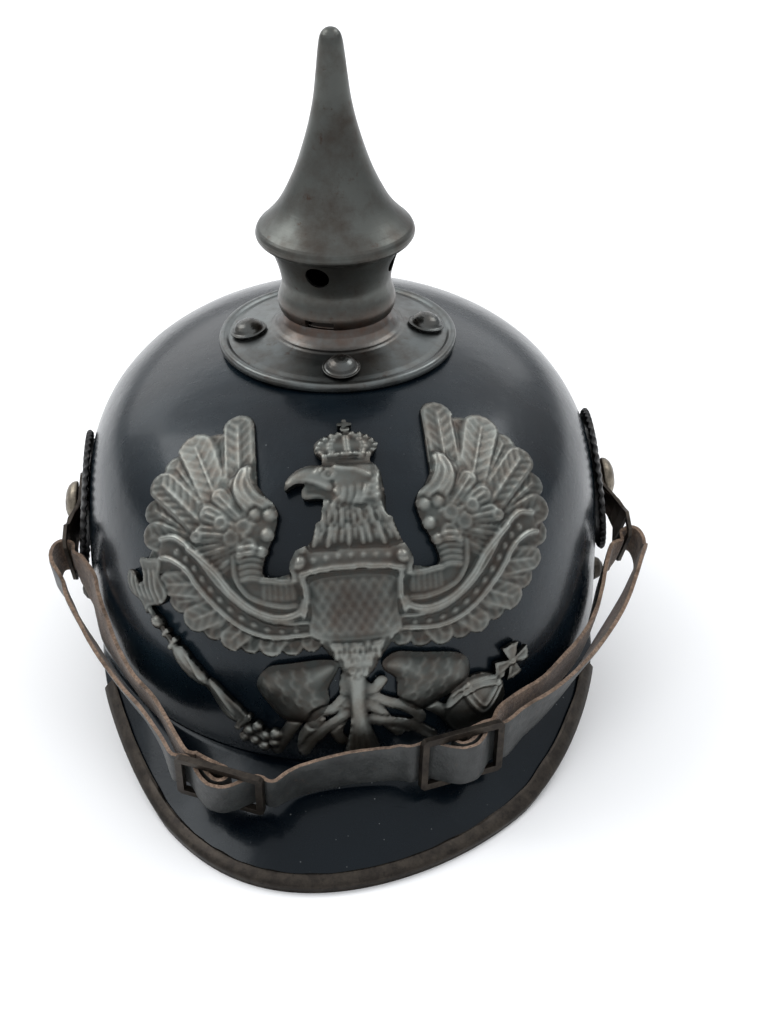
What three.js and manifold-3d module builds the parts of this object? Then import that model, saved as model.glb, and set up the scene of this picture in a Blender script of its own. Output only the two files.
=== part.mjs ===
// A spiked leather helmet of about 1915: lacquered leather skull with two visors, a steel spike on a
// bayonet base, an eagle plate, two cockades on side posts and a leather chin strap with two buckles.
// Millimetres, +Z up. The origin is on the table under the spike's axis and the front faces -Y.
import * as THREE from 'three';
import { mergeVertices } from 'three/addons/utils/BufferGeometryUtils.js';
import { TessellateModifier } from 'three/addons/modifiers/TessellateModifier.js';
import Module from 'manifold-3d';

const wasm = await Module();
wasm.setup();

// ---------------------------------------------------------------- driving dimensions
const GAP = 0.35;

const SKULL = {
  halfWidth: 89.3, halfLength: 106, brimZ: 20.9, rise: 101.4,
  risePower: 4.65, planPower: 2.1, wall: 2.5, ventRadius: 13,
};

// Both visors reach half the helmet's length from the axis and rest on the table along the middle of
// their edge. The edge rises between flatAngle and topAngle, is drawn in by tuck towards its ends, and
// endAngle is where the sheet runs out under the brim.
const VISOR = {
  halfWidth: 90, reach: 145, flange: 2.9, sheet: 2.0, bulge: 1.0, flatAngle: 40, topAngle: 72,
  endAngle: 82, endLift: 16.5, warp: 13, tuck: 2.0, tuckAngle: 66, rearSheet: 2.4,
};
const TRIM = { metal: 0.8, topLeg: 4.2, bottomLeg: 4.2, foot: 1.8, endAngle: 70 };

const PLATE = { radius: 40, bore: 15.2, studRadius: 30, studAngles: [0, 90, 180, 270] };
const COLLAR = { outer: 16.6, shoulderZ: 131.2, topZ: 139.5 };
const BAYONET = { notchStart: -35, notchEnd: -5.5, tabStart: -25.5, tabEnd: -6.5, height: 3, tabRadius: 18.2 };
const VENT = { radius: 4, z: 150.9, firstAngle: -20 };

// The left post sits a little lower than the right one. The lugs swing forwards about their posts, and
// their frames are bent outwards and twisted, so that the strap leans out from the helmet.
const POST = { y: 2.5, leftZ: 58, rightZ: 59.2, lean: 5.5, shank: 3, head: 6.9 };
const COCKADE = { radius: 25, thickness: 1.5, seat: 0.5, droop: 0.8 };
const LUG = {
  sheet: 1.2, width: 13, frameWidth: 19.6, windowWidth: 15.4, top: 11.5, bottom: 30.5,
  sillY: -28.3, headY: -22.4, twist: 12.5,
};
const LEFT_LUG = { side: -1, swing: 75, offset: 1.8, reach: 4.8 };
const RIGHT_LUG = { side: 1, swing: 63, offset: 4.2, reach: 4.9 };
const LUG_SEAT = COCKADE.seat + COCKADE.thickness + GAP;
const STRAP = { width: 14.0, thickness: 1.8 };
const BUCKLE = { length: 29, height: 19.4, bar: 2.3, thickness: 2.2 };

// ---------------------------------------------------------------- materials
function paint(colour, roughness, metalness) {
  return () => new THREE.MeshStandardMaterial({ color: colour, roughness, metalness });
}
const lacquer = paint(0x15181c, 0.35, 0.0);
const strapLeather = paint(0x33302e, 0.6, 0.0);
const greySteel = paint(0x62645f, 0.45, 0.9);
const plateSteel = paint(0x77746c, 0.5, 0.85);
const brownSteel = paint(0x4a3d36, 0.5, 0.8);
const cockadeEnamel = paint(0x1b1b1b, 0.5, 0.4);
const brass = paint(0x7c6a48, 0.4, 0.9);

// ---------------------------------------------------------------- small helpers
const radians = THREE.MathUtils.degToRad;
const helmet = new THREE.Group();

// Directions around the axis are counted from the front, towards +X.
function around(angle, radius, z) {
  const a = radians(angle);
  return new THREE.Vector3(radius * Math.sin(a), -radius * Math.cos(a), z);
}

// Keeps positions only, joins equal corners and drops triangles of no area.
function weld(geometry) {
  const bare = new THREE.BufferGeometry();
  bare.setAttribute('position', geometry.getAttribute('position'));
  if (geometry.index) bare.setIndex(geometry.index);
  const merged = mergeVertices(bare, 1e-4);
  const kept = [];
  for (let i = 0; i < merged.index.count; i += 3) {
    const [a, b, c] = [0, 1, 2].map((k) => merged.index.getX(i + k));
    if (a !== b && b !== c && c !== a) kept.push(a, b, c);
  }
  merged.setIndex(kept);
  return faceOut(merged);
}

// Turns every triangle over when the enclosed volume comes out negative.
function faceOut(geometry) {
  const p = geometry.getAttribute('position');
  const corner = (i) => new THREE.Vector3().fromBufferAttribute(p, geometry.index.getX(i));
  let volume = 0;
  for (let i = 0; i < geometry.index.count; i += 3) {
    volume += corner(i).dot(corner(i + 1).cross(corner(i + 2)));
  }
  if (volume < 0) geometry.setIndex(Array.from(geometry.index.array).reverse());
  return geometry;
}

// Joins equal closed sections into a body: a ring of them, or a bar with two flat ends.
function sweep(sections, closed, endTriangles = []) {
  const size = sections[0].length;
  const corners = sections.flat().flatMap((v) => [v.x, v.y, v.z]);
  const faces = [];
  const last = closed ? sections.length : sections.length - 1;
  for (let i = 0; i < last; i += 1) {
    const here = i * size;
    const next = ((i + 1) % sections.length) * size;
    for (let k = 0; k < size; k += 1) {
      const m = (k + 1) % size;
      faces.push(here + k, here + m, next + m, here + k, next + m, next + k);
    }
  }
  const end = (sections.length - 1) * size;
  for (const [a, b, c] of closed ? [] : endTriangles) {
    faces.push(c, b, a, end + a, end + b, end + c);
  }
  const geometry = new THREE.BufferGeometry();
  geometry.setAttribute('position', new THREE.Float32BufferAttribute(corners, 3));
  geometry.setIndex(faces);
  return faceOut(geometry);
}

// Revolves [radius, z] rows about +Z.
function revolve(rows, segments) {
  const profile = rows.map(([r, z]) => new THREE.Vector2(r, z));
  const geometry = new THREE.LatheGeometry(profile, segments);
  return weld(geometry.rotateX(Math.PI / 2));
}

function toManifold(geometry) {
  const solid = weld(geometry);
  const vertProperties = new Float32Array(solid.getAttribute('position').array);
  const triVerts = new Uint32Array(solid.index.array);
  return new wasm.Manifold(new wasm.Mesh({ numProp: 3, vertProperties, triVerts }));
}

function fromManifold(solid) {
  const mesh = solid.getMesh();
  const geometry = new THREE.BufferGeometry();
  geometry.setAttribute('position', new THREE.BufferAttribute(mesh.vertProperties, 3));
  geometry.setIndex(new THREE.BufferAttribute(mesh.triVerts, 1));
  return geometry;
}

function add(name, geometry, material) {
  geometry.computeVertexNormals();
  const mesh = new THREE.Mesh(geometry, material());
  mesh.name = name;
  helmet.add(mesh);
  return mesh;
}

// ---------------------------------------------------------------- skull
// Horizontal sections are ellipses; their size falls from 1 at the brim to 0 at the crown.
function sectionScale(z, inset = 0) {
  const t = Math.max(0, (z - SKULL.brimZ) / (SKULL.rise - inset));
  return Math.max(0, 1 - t ** SKULL.risePower) ** (1 / SKULL.planPower);
}

function skullPoint(angle, z, inset = 0) {
  const a = radians(angle);
  const scale = sectionScale(z, inset);
  const x = (SKULL.halfWidth - inset) * scale * Math.sin(a);
  const y = -(SKULL.halfLength - inset) * scale * Math.cos(a);
  return new THREE.Vector3(x, y, z);
}

// Height where the section has shrunk to the given scale.
function heightAtScale(scale, inset = 0) {
  const t = (1 - scale ** SKULL.planPower) ** (1 / SKULL.risePower);
  return SKULL.brimZ + (SKULL.rise - inset) * t;
}

function buildSkull() {
  const scales = [0.99, 0.96, 0.91, 0.83, 0.73, 0.6, 0.44, 0.28];
  const ventScale = SKULL.ventRadius / SKULL.halfWidth;
  const heights = (inset) => [...scales, ventScale].map((s) => heightAtScale(s, inset));
  const outer = [SKULL.brimZ, SKULL.brimZ + 20, ...heights(0)];
  const inner = [SKULL.brimZ, SKULL.brimZ + 20, ...heights(SKULL.wall)];
  const sections = [];
  for (let angle = 0; angle < 360; angle += 7.2) {
    const outside = outer.map((z) => skullPoint(angle, z));
    const inside = inner.map((z) => skullPoint(angle, z, SKULL.wall));
    sections.push([...outside, ...inside.reverse()]);
  }
  add('skull', sweep(sections, true), lacquer);
}

// ---------------------------------------------------------------- visors
// side is -1 for the front and 1 for the rear. The front edge has warped sideways with age; the rear
// one is taken as true.
function edgePoint(angle, side) {
  const a = radians(angle);
  const warp = side < 0 ? VISOR.warp * Math.cos(a) ** 4 : 0;
  const rising = (Math.abs(angle) - VISOR.flatAngle) / (VISOR.topAngle - VISOR.flatAngle);
  const lift = VISOR.endLift * THREE.MathUtils.clamp(rising, 0, 1) ** 1.3;
  const tuck = VISOR.tuck * THREE.MathUtils.smoothstep(Math.abs(angle), VISOR.tuckAngle, VISOR.endAngle);
  const x = (VISOR.halfWidth - tuck) * Math.sin(a) - warp;
  return new THREE.Vector3(x, side * VISOR.reach * Math.cos(a), lift);
}

// Square to the edge in plan, towards the skull.
function inwardDirection(angle, side) {
  const along = edgePoint(angle + 0.5, side).sub(edgePoint(angle - 0.5, side)).setZ(0).normalize();
  return new THREE.Vector3(side * along.y, -side * along.x, 0);
}

// How far in from the edge the skull's ellipse lies, the ellipse being grown by offset.
function inwardToSkull(angle, side, offset) {
  const edge = edgePoint(angle, side);
  const inward = inwardDirection(angle, side);
  const rx = SKULL.halfWidth + offset;
  const ry = SKULL.halfLength + offset;
  const square = (inward.x / rx) ** 2 + (inward.y / ry) ** 2;
  const middle = (edge.x * inward.x) / rx ** 2 + (edge.y * inward.y) / ry ** 2;
  const rest = (edge.x / rx) ** 2 + (edge.y / ry) ** 2 - 1;
  return (-middle - Math.sqrt(middle ** 2 - square * rest)) / square;
}

// The section of a visor square to its edge. at(inward, height) is a point of the sheet's upper face,
// raised by height along the sheet's own normal; setting the height below zero gives the lower face.
function visorProfile(angle, side, inset, sheet) {
  const edge = edgePoint(angle, side);
  const inward = inwardDirection(angle, side);
  const brimZ = SKULL.brimZ - GAP;
  const toBrim = Math.max(inwardToSkull(angle, side, GAP), inset + 0.8);
  const toFlange = inwardToSkull(angle, side, -VISOR.flange);
  const lift = side < 0 ? TRIM.metal + GAP : 0.5;
  const edgeZ = Math.min(edge.z + lift + sheet * 0.85, brimZ - 0.4);
  const bulge = (VISOR.bulge * toBrim) / 39;
  const topZ = (e) => {
    const part = Math.min((e - inset) / (toBrim - inset), 1);
    return THREE.MathUtils.lerp(edgeZ, brimZ, part) + bulge * Math.sin(Math.PI * Math.max(part, 0));
  };
  const place = (e, z) => edge.clone().addScaledVector(inward, e).setZ(z);
  const at = (e, height) => {
    const slope = e < toBrim ? Math.min((topZ(e + 0.1) - topZ(e - 0.1)) / 0.2, 1) : 0;
    const length = Math.hypot(slope, 1);
    return place(e - (slope / length) * height, topZ(e) + height / length);
  };
  return { at, place, edge, toBrim, toFlange };
}

function visorSection(angle, side, inset, sheet) {
  const { at, toBrim, toFlange } = visorProfile(angle, side, inset, sheet);
  const steps = [0, 0.3, 0.65, 0.98].map((f) => THREE.MathUtils.lerp(inset, toBrim, f));
  const rows = [...steps, Math.max(toFlange, toBrim + 1)];
  return [...rows.map((e) => at(e, 0)), ...rows.map((e) => at(e, -sheet)).reverse()];
}

const VISOR_ANGLES = Array.from({ length: 37 }, (_, i) => VISOR.endAngle * (i / 18 - 1));

// Two facing rows of equal length close a section's flat end.
function pairedEnd(count) {
  const faces = [];
  for (let k = 0; k < count - 1; k += 1) {
    const far = 2 * count - 1 - k;
    faces.push([k, k + 1, far], [k + 1, far - 1, far]);
  }
  return faces;
}

// Closes the ends of a section that has no facing rows; the triangles are found on its middle one.
function flatEnd(sections) {
  const middle = sections[Math.floor(sections.length / 2)];
  return THREE.ShapeUtils.triangulateShape(middle.map((v) => new THREE.Vector2(v.y, v.z)), []);
}

function buildFrontVisor() {
  const inset = TRIM.metal + GAP;
  const sections = VISOR_ANGLES.map((angle) => visorSection(angle, -1, inset, VISOR.sheet));
  add('front_visor', sweep(sections, false, pairedEnd(5)), lacquer);
}

// The rear sheet has a bare edge with a narrow flat under it, on which it stands.
function buildRearVisor() {
  const sheet = VISOR.rearSheet;
  const sections = VISOR_ANGLES.map((angle) => {
    const rows = visorSection(angle, 1, 0, sheet);
    const { place, edge } = visorProfile(angle, 1, 0, sheet);
    const lowest = rows.pop();
    const footZ = Math.min(edge.z, lowest.z - 0.1);
    return [...rows, place(2.6, footZ), place(1.0, footZ), place(0, edge.z + 1.0)];
  });
  add('rear_visor', sweep(sections, false, flatEnd(sections)), lacquer);
}

// A folded channel that grips the front visor's edge and carries it on a flat foot. Its legs shorten
// towards the sides, where the sheet narrows.
function trimSection(angle) {
  const inset = TRIM.metal + GAP;
  const outer = GAP + TRIM.metal;
  const { at, place, edge, toBrim } = visorProfile(angle, -1, inset, VISOR.sheet);
  const topLeg = THREE.MathUtils.clamp(toBrim - 1.4, inset + 0.4, TRIM.topLeg);
  const bottomLeg = THREE.MathUtils.clamp(toBrim - 1.2, inset + 0.9, TRIM.bottomLeg);
  const nose = at(0, -0.9);
  const foot = edge.distanceTo(nose.clone().setZ(edge.z)) + 0.3;
  return [
    at(topLeg, outer), at(inset, outer), at(0.1, 0.1), nose,
    place(foot, edge.z), place(foot + TRIM.foot, edge.z), at(bottomLeg, -VISOR.sheet - outer),
    at(bottomLeg, -VISOR.sheet - GAP), at(TRIM.metal, -VISOR.sheet - GAP),
    at(TRIM.metal, GAP), at(topLeg, GAP),
  ];
}

function buildVisorTrim() {
  const sections = VISOR_ANGLES.filter((angle) => Math.abs(angle) < TRIM.endAngle).map(trimSection);
  add('front_visor_trim', sweep(sections, false, flatEnd(sections)), brownSteel);
}

// ---------------------------------------------------------------- spike base and spike
function wedge(startAngle, endAngle, innerRadius, outerRadius, lowZ, highZ) {
  const sections = Array.from({ length: 9 }, (_, i) => {
    const angle = THREE.MathUtils.lerp(startAngle, endAngle, i / 8);
    return [
      around(angle, innerRadius, lowZ), around(angle, outerRadius, lowZ),
      around(angle, outerRadius, highZ), around(angle, innerRadius, highZ),
    ];
  });
  return toManifold(sweep(sections, false, pairedEnd(2)));
}

function buildSpikeBase() {
  const under = (r) => [r, heightAtScale(r / SKULL.halfLength) + GAP + 0.05];
  const body = toManifold(revolve([
    under(PLATE.bore), [PLATE.bore, COLLAR.topZ], [COLLAR.outer, COLLAR.topZ],
    [COLLAR.outer, COLLAR.shoulderZ], [17.4, COLLAR.shoulderZ], [18.2, 128.7], [20.2, 126.4],
    [22.3, 125.1], [25.5, 124.2], [34.5, 122.6], [36.8, 121.9], [37.8, 122.3],
    [39.2, 122.3], [PLATE.radius, 121.5], under(PLATE.radius), under(30),
    under(20), under(PLATE.bore),
  ], 36));
  const { tabStart, tabEnd, height, tabRadius } = BAYONET;
  const low = COLLAR.shoulderZ - 0.6;
  const high = COLLAR.shoulderZ + height - 0.2;
  const inner = COLLAR.outer - 0.5;
  const tabs = [0, 180].map((turn) => wedge(tabStart + turn, tabEnd + turn, inner, tabRadius, low, high));
  add('spike_base', fromManifold(body.add(tabs[0]).add(tabs[1])), greySteel);
}

// The spike is a hollow turned form, open below where it drops over the collar.
function spikeBody() {
  const inner = COLLAR.outer + GAP;
  const bottom = COLLAR.shoulderZ + GAP;
  return toManifold(revolve([
    [0, 228.1], [2.2, 227.6], [3.5, 225.6], [4.5, 219.5], [5.2, 212.7], [6.2, 204.8],
    [7.9, 196.7], [10.2, 188.6], [13.1, 180.3], [17.1, 171.9], [23.7, 163.5],
    [25.7, 161.5], [26.35, 159.5], [26.2, 158.2], [25.4, 157.0], [24.2, 157.2],
    [21.4, 153.4], [19.4, 148.6], [18.2, 142.4], [19.5, 137.2], [19.7, 135.0], [18.4, bottom],
    [inner, bottom], [inner, 142.2], [17.9, 147.6], [19.8, 153.2], [22.5, 158.2], [23.8, 160.2],
    [15.8, 171.5], [9.0, 186.0], [4.4, 204.8], [0, 218.0],
  ], 36));
}

function ventHole(angle) {
  const drill = new THREE.CylinderGeometry(VENT.radius, VENT.radius, 16, 12);
  const at = around(angle, 21, VENT.z);
  drill.rotateZ(radians(angle)).translate(at.x, at.y, at.z);
  return toManifold(drill);
}

function buildSpike() {
  let solid = spikeBody();
  for (const turn of [0, 90, 180, 270]) {
    solid = solid.subtract(ventHole(VENT.firstAngle + turn));
  }
  for (const turn of [0, 180]) {
    const start = BAYONET.notchStart + turn;
    const end = BAYONET.notchEnd + turn;
    const top = COLLAR.shoulderZ + GAP + BAYONET.height;
    solid = solid.subtract(wedge(start, end, 15, 24, 130, top));
  }
  add('spike', fromManifold(solid), greySteel);
}

function buildStuds() {
  const names = ['front', 'right', 'rear', 'left'];
  const slope = Math.atan2(124.2 - 122.6, 34.5 - 25.5);
  PLATE.studAngles.forEach((angle, i) => {
    const geometry = revolve([
      [0, 3.0], [2.6, 2.65], [4.8, 1.5], [6.25, 0], [0, 0],
    ], 16);
    const mesh = add(`base_stud_${names[i]}`, geometry, greySteel);
    mesh.position.copy(around(angle, PLATE.studRadius, 123.4 + GAP + 0.15));
    mesh.rotation.set(0, 0, radians(angle));
    mesh.rotateX(slope);
  });
}

// ---------------------------------------------------------------- eagle plate
// The plate is drawn flat, x to the viewer's right and y up from the tail, and laid on the skull.
const EAGLE = { tilt: 2, pivotY: 50, centreZ: 25, back: 0.75, facet: 14 };

// Distance from the centre of the skull to its surface along a direction.
function reachSkull(direction) {
  const centre = new THREE.Vector3(0, 0, EAGLE.centreZ);
  let near = 40;
  let far = 140;
  for (let i = 0; i < 40; i += 1) {
    const middle = (near + far) / 2;
    const point = direction.clone().multiplyScalar(middle).add(centre);
    const scale = Math.hypot(point.x / SKULL.halfWidth, point.y / SKULL.halfLength);
    if (scale < sectionScale(point.z)) near = middle;
    else far = middle;
  }
  return near;
}

function layOnSkull(x, y, height) {
  const turned = new THREE.Vector2(x, y).rotateAround(new THREE.Vector2(0, EAGLE.pivotY), radians(EAGLE.tilt));
  const east = turned.x / SKULL.halfLength;
  const north = turned.y / SKULL.halfLength;
  const direction = new THREE.Vector3(
    Math.sin(east), -Math.cos(east) * Math.cos(north), Math.cos(east) * Math.sin(north));
  const distance = reachSkull(direction) + height;
  return direction.multiplyScalar(distance).add(new THREE.Vector3(0, 0, EAGLE.centreZ));
}

function slab(shape, top, segments = 5) {
  const depth = top - EAGLE.back;
  const geometry = new THREE.ExtrudeGeometry(shape, { depth, bevelEnabled: false, curveSegments: segments });
  return toManifold(geometry.translate(0, 0, EAGLE.back));
}

function polygon(points) {
  return new THREE.Shape(points.map(([x, y]) => new THREE.Vector2(x, y)));
}

// A bar with round ends of different radii, as a feather, limb or shaft is.
function tongue(x1, y1, r1, x2, y2, r2) {
  const along = Math.atan2(y2 - y1, x2 - x1);
  const shape = new THREE.Shape();
  shape.absarc(x1, y1, r1, along + Math.PI / 2, along + 1.5 * Math.PI, false);
  shape.absarc(x2, y2, r2, along - Math.PI / 2, along + Math.PI / 2, false);
  return shape;
}

function mirrored(solid) {
  return solid.add(solid.mirror([1, 0, 0]));
}

function united(solids) {
  return solids.reduce((whole, next) => whole.add(next));
}

// Legs and regalia hang plumb while the wings lean with the plate.
function untilted(solid) {
  const toPivot = [0, EAGLE.pivotY, 0];
  return solid.translate(toPivot.map((c) => -c)).rotate([0, 0, -EAGLE.tilt]).translate(toPivot);
}

// Long feathers fan from the arm of the wing, short ones hang under the ribbon.
const FEATHERS = [
  // tip x, tip y, tip radius, root x, root y, root radius
  [31.4, 112.6, 5.0, 31, 82, 7],
  [45.2, 107.4, 6.0, 36, 80, 6],
  [51.5, 101.0, 4.0, 38, 78, 6],
  [56.8, 96.3, 5.2, 40, 76, 6],
  [60.0, 86.5, 3.6, 42, 72, 7],
  [61.3, 78.8, 5.2, 42, 68, 7],
  [60.6, 69.5, 3.8, 40, 64, 7],
  [58.2, 61.0, 4.5, 38, 60, 7],
  [54.6, 54.0, 3.8, 36, 56, 6],
  [50.0, 48.4, 4.8, 32, 55, 6],
  [43.6, 44.6, 3.4, 28, 52, 5],
  [38.0, 41.8, 4.0, 26, 51, 5],
  [31.5, 40.8, 3.4, 22, 50, 5],
  [25.6, 40.0, 3.8, 18, 49, 5],
  [18.8, 40.4, 3.5, 14, 48, 5],
  [13.2, 41.0, 3.2, 9, 48, 5],
];

function wing() {
  const feathers = FEATHERS.map((row) => slab(tongue(...row), 1.8, 3));
  const arm = slab(polygon([
    [12, 61], [25, 60.6], [25.4, 66], [21.6, 74], [20.4, 81.5], [23.4, 85.4], [26.6, 91], [27.6, 96.4],
    [33, 96], [37, 86], [42, 76], [38, 64], [30, 52], [18, 49], [12, 51],
  ]), 2.4);
  const knuckles = [[22.6, 81.2, 3.2], [23.8, 74.6, 3.2], [25.6, 69.2, 2.4]]
    .map(([x, y, r]) => slab(tongue(x, y, r, x + 4, y, r), 4.2, 3));
  const ribbonPath = [
    [13, 45.5], [24, 44.2], [34, 47.5], [42.5, 54.5], [48.5, 63], [54, 72], [60, 77],
    [57.5, 81.5], [50, 76.5], [43.5, 67], [37.5, 58.5], [31.5, 52.8], [23, 49.6], [13, 50.5],
  ];
  return united([...feathers, arm, ...knuckles, slab(polygon(ribbonPath), 2.4)]);
}

function eagleBody() {
  const neck = polygon([
    [-6, 80], [-7.4, 74], [-12, 67], [12, 67], [9.6, 74], [9.2, 82], [8.6, 90], [6, 94], [-7, 94], [-8.4, 84],
  ]);
  const breast = polygon([
    [-12, 60], [12, 60], [12.6, 46], [11, 37], [7, 31], [-7, 31], [-11, 37], [-12.6, 46],
  ]);
  const scroll = polygon([
    [-15, 66], [-11, 67.5], [0, 68.5], [11, 67.5], [15, 66], [14, 58.5], [0, 60], [-14, 58.5],
  ]);
  const beak = polygon([
    [-6, 92], [-13, 92.6], [-17, 90.6], [-19, 87], [-16, 88], [-12, 88], [-14, 84.6], [-12.6, 82.8], [-4, 83],
  ]);
  const crown = polygon([
    [-7.6, 94], [6.6, 94], [6.8, 97], [9.4, 101], [8, 105], [4, 107], [1, 107.6], [1.4, 112], [-1.6, 112],
    [-1.4, 107.6], [-5, 107], [-8.6, 105], [-10.2, 101], [-7.6, 97],
  ]);
  const pieces = [[neck, 3.4], [breast, 2.6], [scroll, 3.4], [beak, 3.0], [crown, 3.6]];
  return united(pieces.map(([shape, top]) => slab(shape, top)));
}

function eagleLegs() {
  const thighOutline = [[9, 36], [26, 34], [31, 31], [34, 26], [31, 20], [22, 12], [12, 18], [8, 26]];
  const thigh = (s) => united([
    slab(polygon(thighOutline.map(([x, y]) => [s * x, y])), 3.2),
    slab(tongue(s * 21, 14, 2.6, s * 27, 4, 1.8), 2.2, 4),
  ]);
  const plumes = [[13, 7, 2.6, 2, 24, 3], [20, 3, 2.2, 6, 16, 2.6], [9, 3, 1.8, 2, 14, 2.6]];
  const plume = ([x1, y1, r1, x2, y2, r2], s) => slab(tongue(s * x1, y1, r1, s * x2, y2, r2), 1.9, 4);
  const tail = united([
    slab(tongue(0, 34, 4, 0, 4, 3.6), 2.2, 4),
    ...plumes.flatMap((sizes) => [plume(sizes, -1), plume(sizes, 1)]),
  ]);
  return untilted(united([thigh(-1), thigh(1), tail]));
}

function regalia() {
  const sceptre = united([
    slab(tongue(-24, 5, 2.8, -38, 12, 2.8), 2.4, 4),
    slab(tongue(-38, 12, 3.4, -46, 21, 3.0), 2.6, 4),
    slab(tongue(-46, 21, 2.2, -60, 36, 2.8), 2.4, 4),
    slab(tongue(-60, 36, 2.2, -67, 45, 3.0), 3.2, 4),
    slab(polygon([[-62, 52], [-68, 44], [-77, 54], [-79, 64], [-72, 61], [-72, 70], [-64, 67]]), 2.0),
  ]);
  const orb = united([
    slab(tongue(39, 12, 11.6, 40, 12.2, 11.6), 3.4, 9),
    slab(tongue(26, 8, 2.6, 34, 14, 3), 2.4, 4),
    slab(tongue(46, 20, 1.8, 57, 28, 3.0), 2.2, 4),
    slab(tongue(49, 27, 2.4, 56.5, 18, 2.4), 2.2, 4),
  ]);
  return untilted(sceptre.add(orb));
}

function buildEaglePlate() {
  const flat = united([mirrored(wing()), eagleBody(), eagleLegs(), regalia()]);
  const fine = new TessellateModifier(EAGLE.facet, 30).modify(fromManifold(flat));
  const corners = fine.getAttribute('position');
  for (let i = 0; i < corners.count; i += 1) {
    const laid = layOnSkull(corners.getX(i), corners.getY(i), corners.getZ(i));
    corners.setXYZ(i, laid.x, laid.y, laid.z);
  }
  add('eagle_plate', weld(fine), plateSteel);
}

// ---------------------------------------------------------------- side fittings
// Everything on a side post is built with +Z as the post's outward axis, then turned to its side.
function postMatrix(side) {
  const lean = radians(POST.lean);
  const outward = new THREE.Vector3(side * Math.cos(lean), 0, Math.sin(lean));
  const up = new THREE.Vector3(-side * Math.sin(lean), 0, Math.cos(lean));
  const z = side < 0 ? POST.leftZ : POST.rightZ;
  const seat = new THREE.Vector3(side * SKULL.halfWidth * sectionScale(z), POST.y, z);
  return new THREE.Matrix4().makeBasis(up.clone().cross(outward), up, outward).setPosition(seat);
}

function placeOnPost(mesh, side) {
  mesh.applyMatrix4(postMatrix(side));
}

function buildCockade(name, side) {
  const hole = POST.shank + GAP;
  const rim = COCKADE.seat + COCKADE.thickness;
  const geometry = revolve([
    [hole, COCKADE.seat], [18, COCKADE.seat], [COCKADE.radius - 0.4, COCKADE.seat - COCKADE.droop],
    [COCKADE.radius, COCKADE.seat], [COCKADE.radius - 0.5, rim - COCKADE.droop], [18.6, rim],
    [18.0, rim - 0.5], [12.6, rim], [12.0, rim - 0.4], [hole, rim], [hole, COCKADE.seat],
  ], 36);
  placeOnPost(add(name, geometry, cockadeEnamel), side);
}

function buildPost(name, side) {
  const headBase = LUG_SEAT + LUG.sheet + GAP;
  const geometry = revolve([
    [0, GAP], [POST.shank, GAP], [POST.shank, headBase], [POST.head, headBase],
    [POST.head, headBase + 1.5], [POST.head - 1.4, headBase + 3.3], [3.0, headBase + 4.2], [0, headBase + 4.4],
  ], 20);
  placeOnPost(add(name, geometry, brass), side);
}

// The strap lug is a flat stamping, drawn with +y up, bent outwards below the post.
function lugOutline() {
  const half = LUG.width / 2;
  const frame = LUG.frameWidth / 2;
  const shape = new THREE.Shape();
  shape.absarc(0, LUG.top - half, half, 0, Math.PI, false);
  shape.lineTo(-half, LUG.headY + 5);
  shape.lineTo(-frame, LUG.headY + 1);
  shape.lineTo(-frame, 2 - LUG.bottom);
  shape.lineTo(2 - frame, -LUG.bottom);
  shape.lineTo(frame - 2, -LUG.bottom);
  shape.lineTo(frame, 2 - LUG.bottom);
  shape.lineTo(frame, LUG.headY + 1);
  shape.lineTo(half, LUG.headY + 5);
  const slot = new THREE.Path();
  const slotRadius = POST.shank + 0.75;
  slot.absarc(0, 3, slotRadius, 0, Math.PI, false);
  slot.absarc(0, 0, slotRadius, Math.PI, 2 * Math.PI, false);
  const window = new THREE.Path();
  const reach = LUG.windowWidth / 2;
  window.setFromPoints([[-reach, LUG.headY], [reach, LUG.headY], [reach, LUG.sillY], [-reach, LUG.sillY]]
    .map(([x, y]) => new THREE.Vector2(x, y)));
  shape.holes.push(slot, window);
  return shape;
}

function buildLug(name, { side, swing, offset }) {
  const sheet = { depth: LUG.sheet, bevelEnabled: false, curveSegments: 5 };
  const flat = new THREE.ExtrudeGeometry(lugOutline(), sheet);
  const fine = new TessellateModifier(6, 20).modify(flat);
  const corners = fine.getAttribute('position');
  for (let i = 0; i < corners.count; i += 1) {
    const down = THREE.MathUtils.smoothstep(-corners.getY(i), 7, 16);
    const raised = offset - side * corners.getX(i) * Math.tan(radians(LUG.twist));
    corners.setZ(i, corners.getZ(i) + LUG_SEAT + raised * down);
  }
  fine.rotateZ(radians(-side * swing));
  placeOnPost(add(name, weld(fine), brownSteel), side);
}

function buildRivet(name, side) {
  const geometry = revolve([[0, 3.6], [1.8, 3.2], [3.4, 2.0], [4.4, 0], [0, 0]], 16);
  const mesh = add(name, geometry, brownSteel);
  mesh.position.set(side * (SKULL.halfWidth + GAP), -6, 27);
  mesh.rotation.set(0, side * Math.PI / 2, 0);
}

// ---------------------------------------------------------------- buckles and chin strap
// A buckle's own frame: along the strap, up its width, and out from the helmet.
function buckleFrame(centre, heading, dip, lean) {
  const a = radians(heading);
  const d = radians(dip);
  const along = new THREE.Vector3(Math.cos(a) * Math.cos(d), Math.sin(a) * Math.cos(d), Math.sin(d));
  const rise = new THREE.Vector3(0, 0, 1).addScaledVector(along, -along.z).normalize();
  const out = along.clone().cross(rise);
  const up = rise.multiplyScalar(Math.cos(radians(lean))).addScaledVector(out, Math.sin(radians(lean)));
  return new THREE.Matrix4().makeBasis(along, up, along.clone().cross(up)).setPosition(centre);
}

const LEFT_BUCKLE = buckleFrame(new THREE.Vector3(-43.9, -119.4, 24.6), -20.2, -6.6, 17.8);
const RIGHT_BUCKLE = buckleFrame(new THREE.Vector3(32.7, -112.2, 26.6), 22.2, -2.2, 2);

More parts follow.
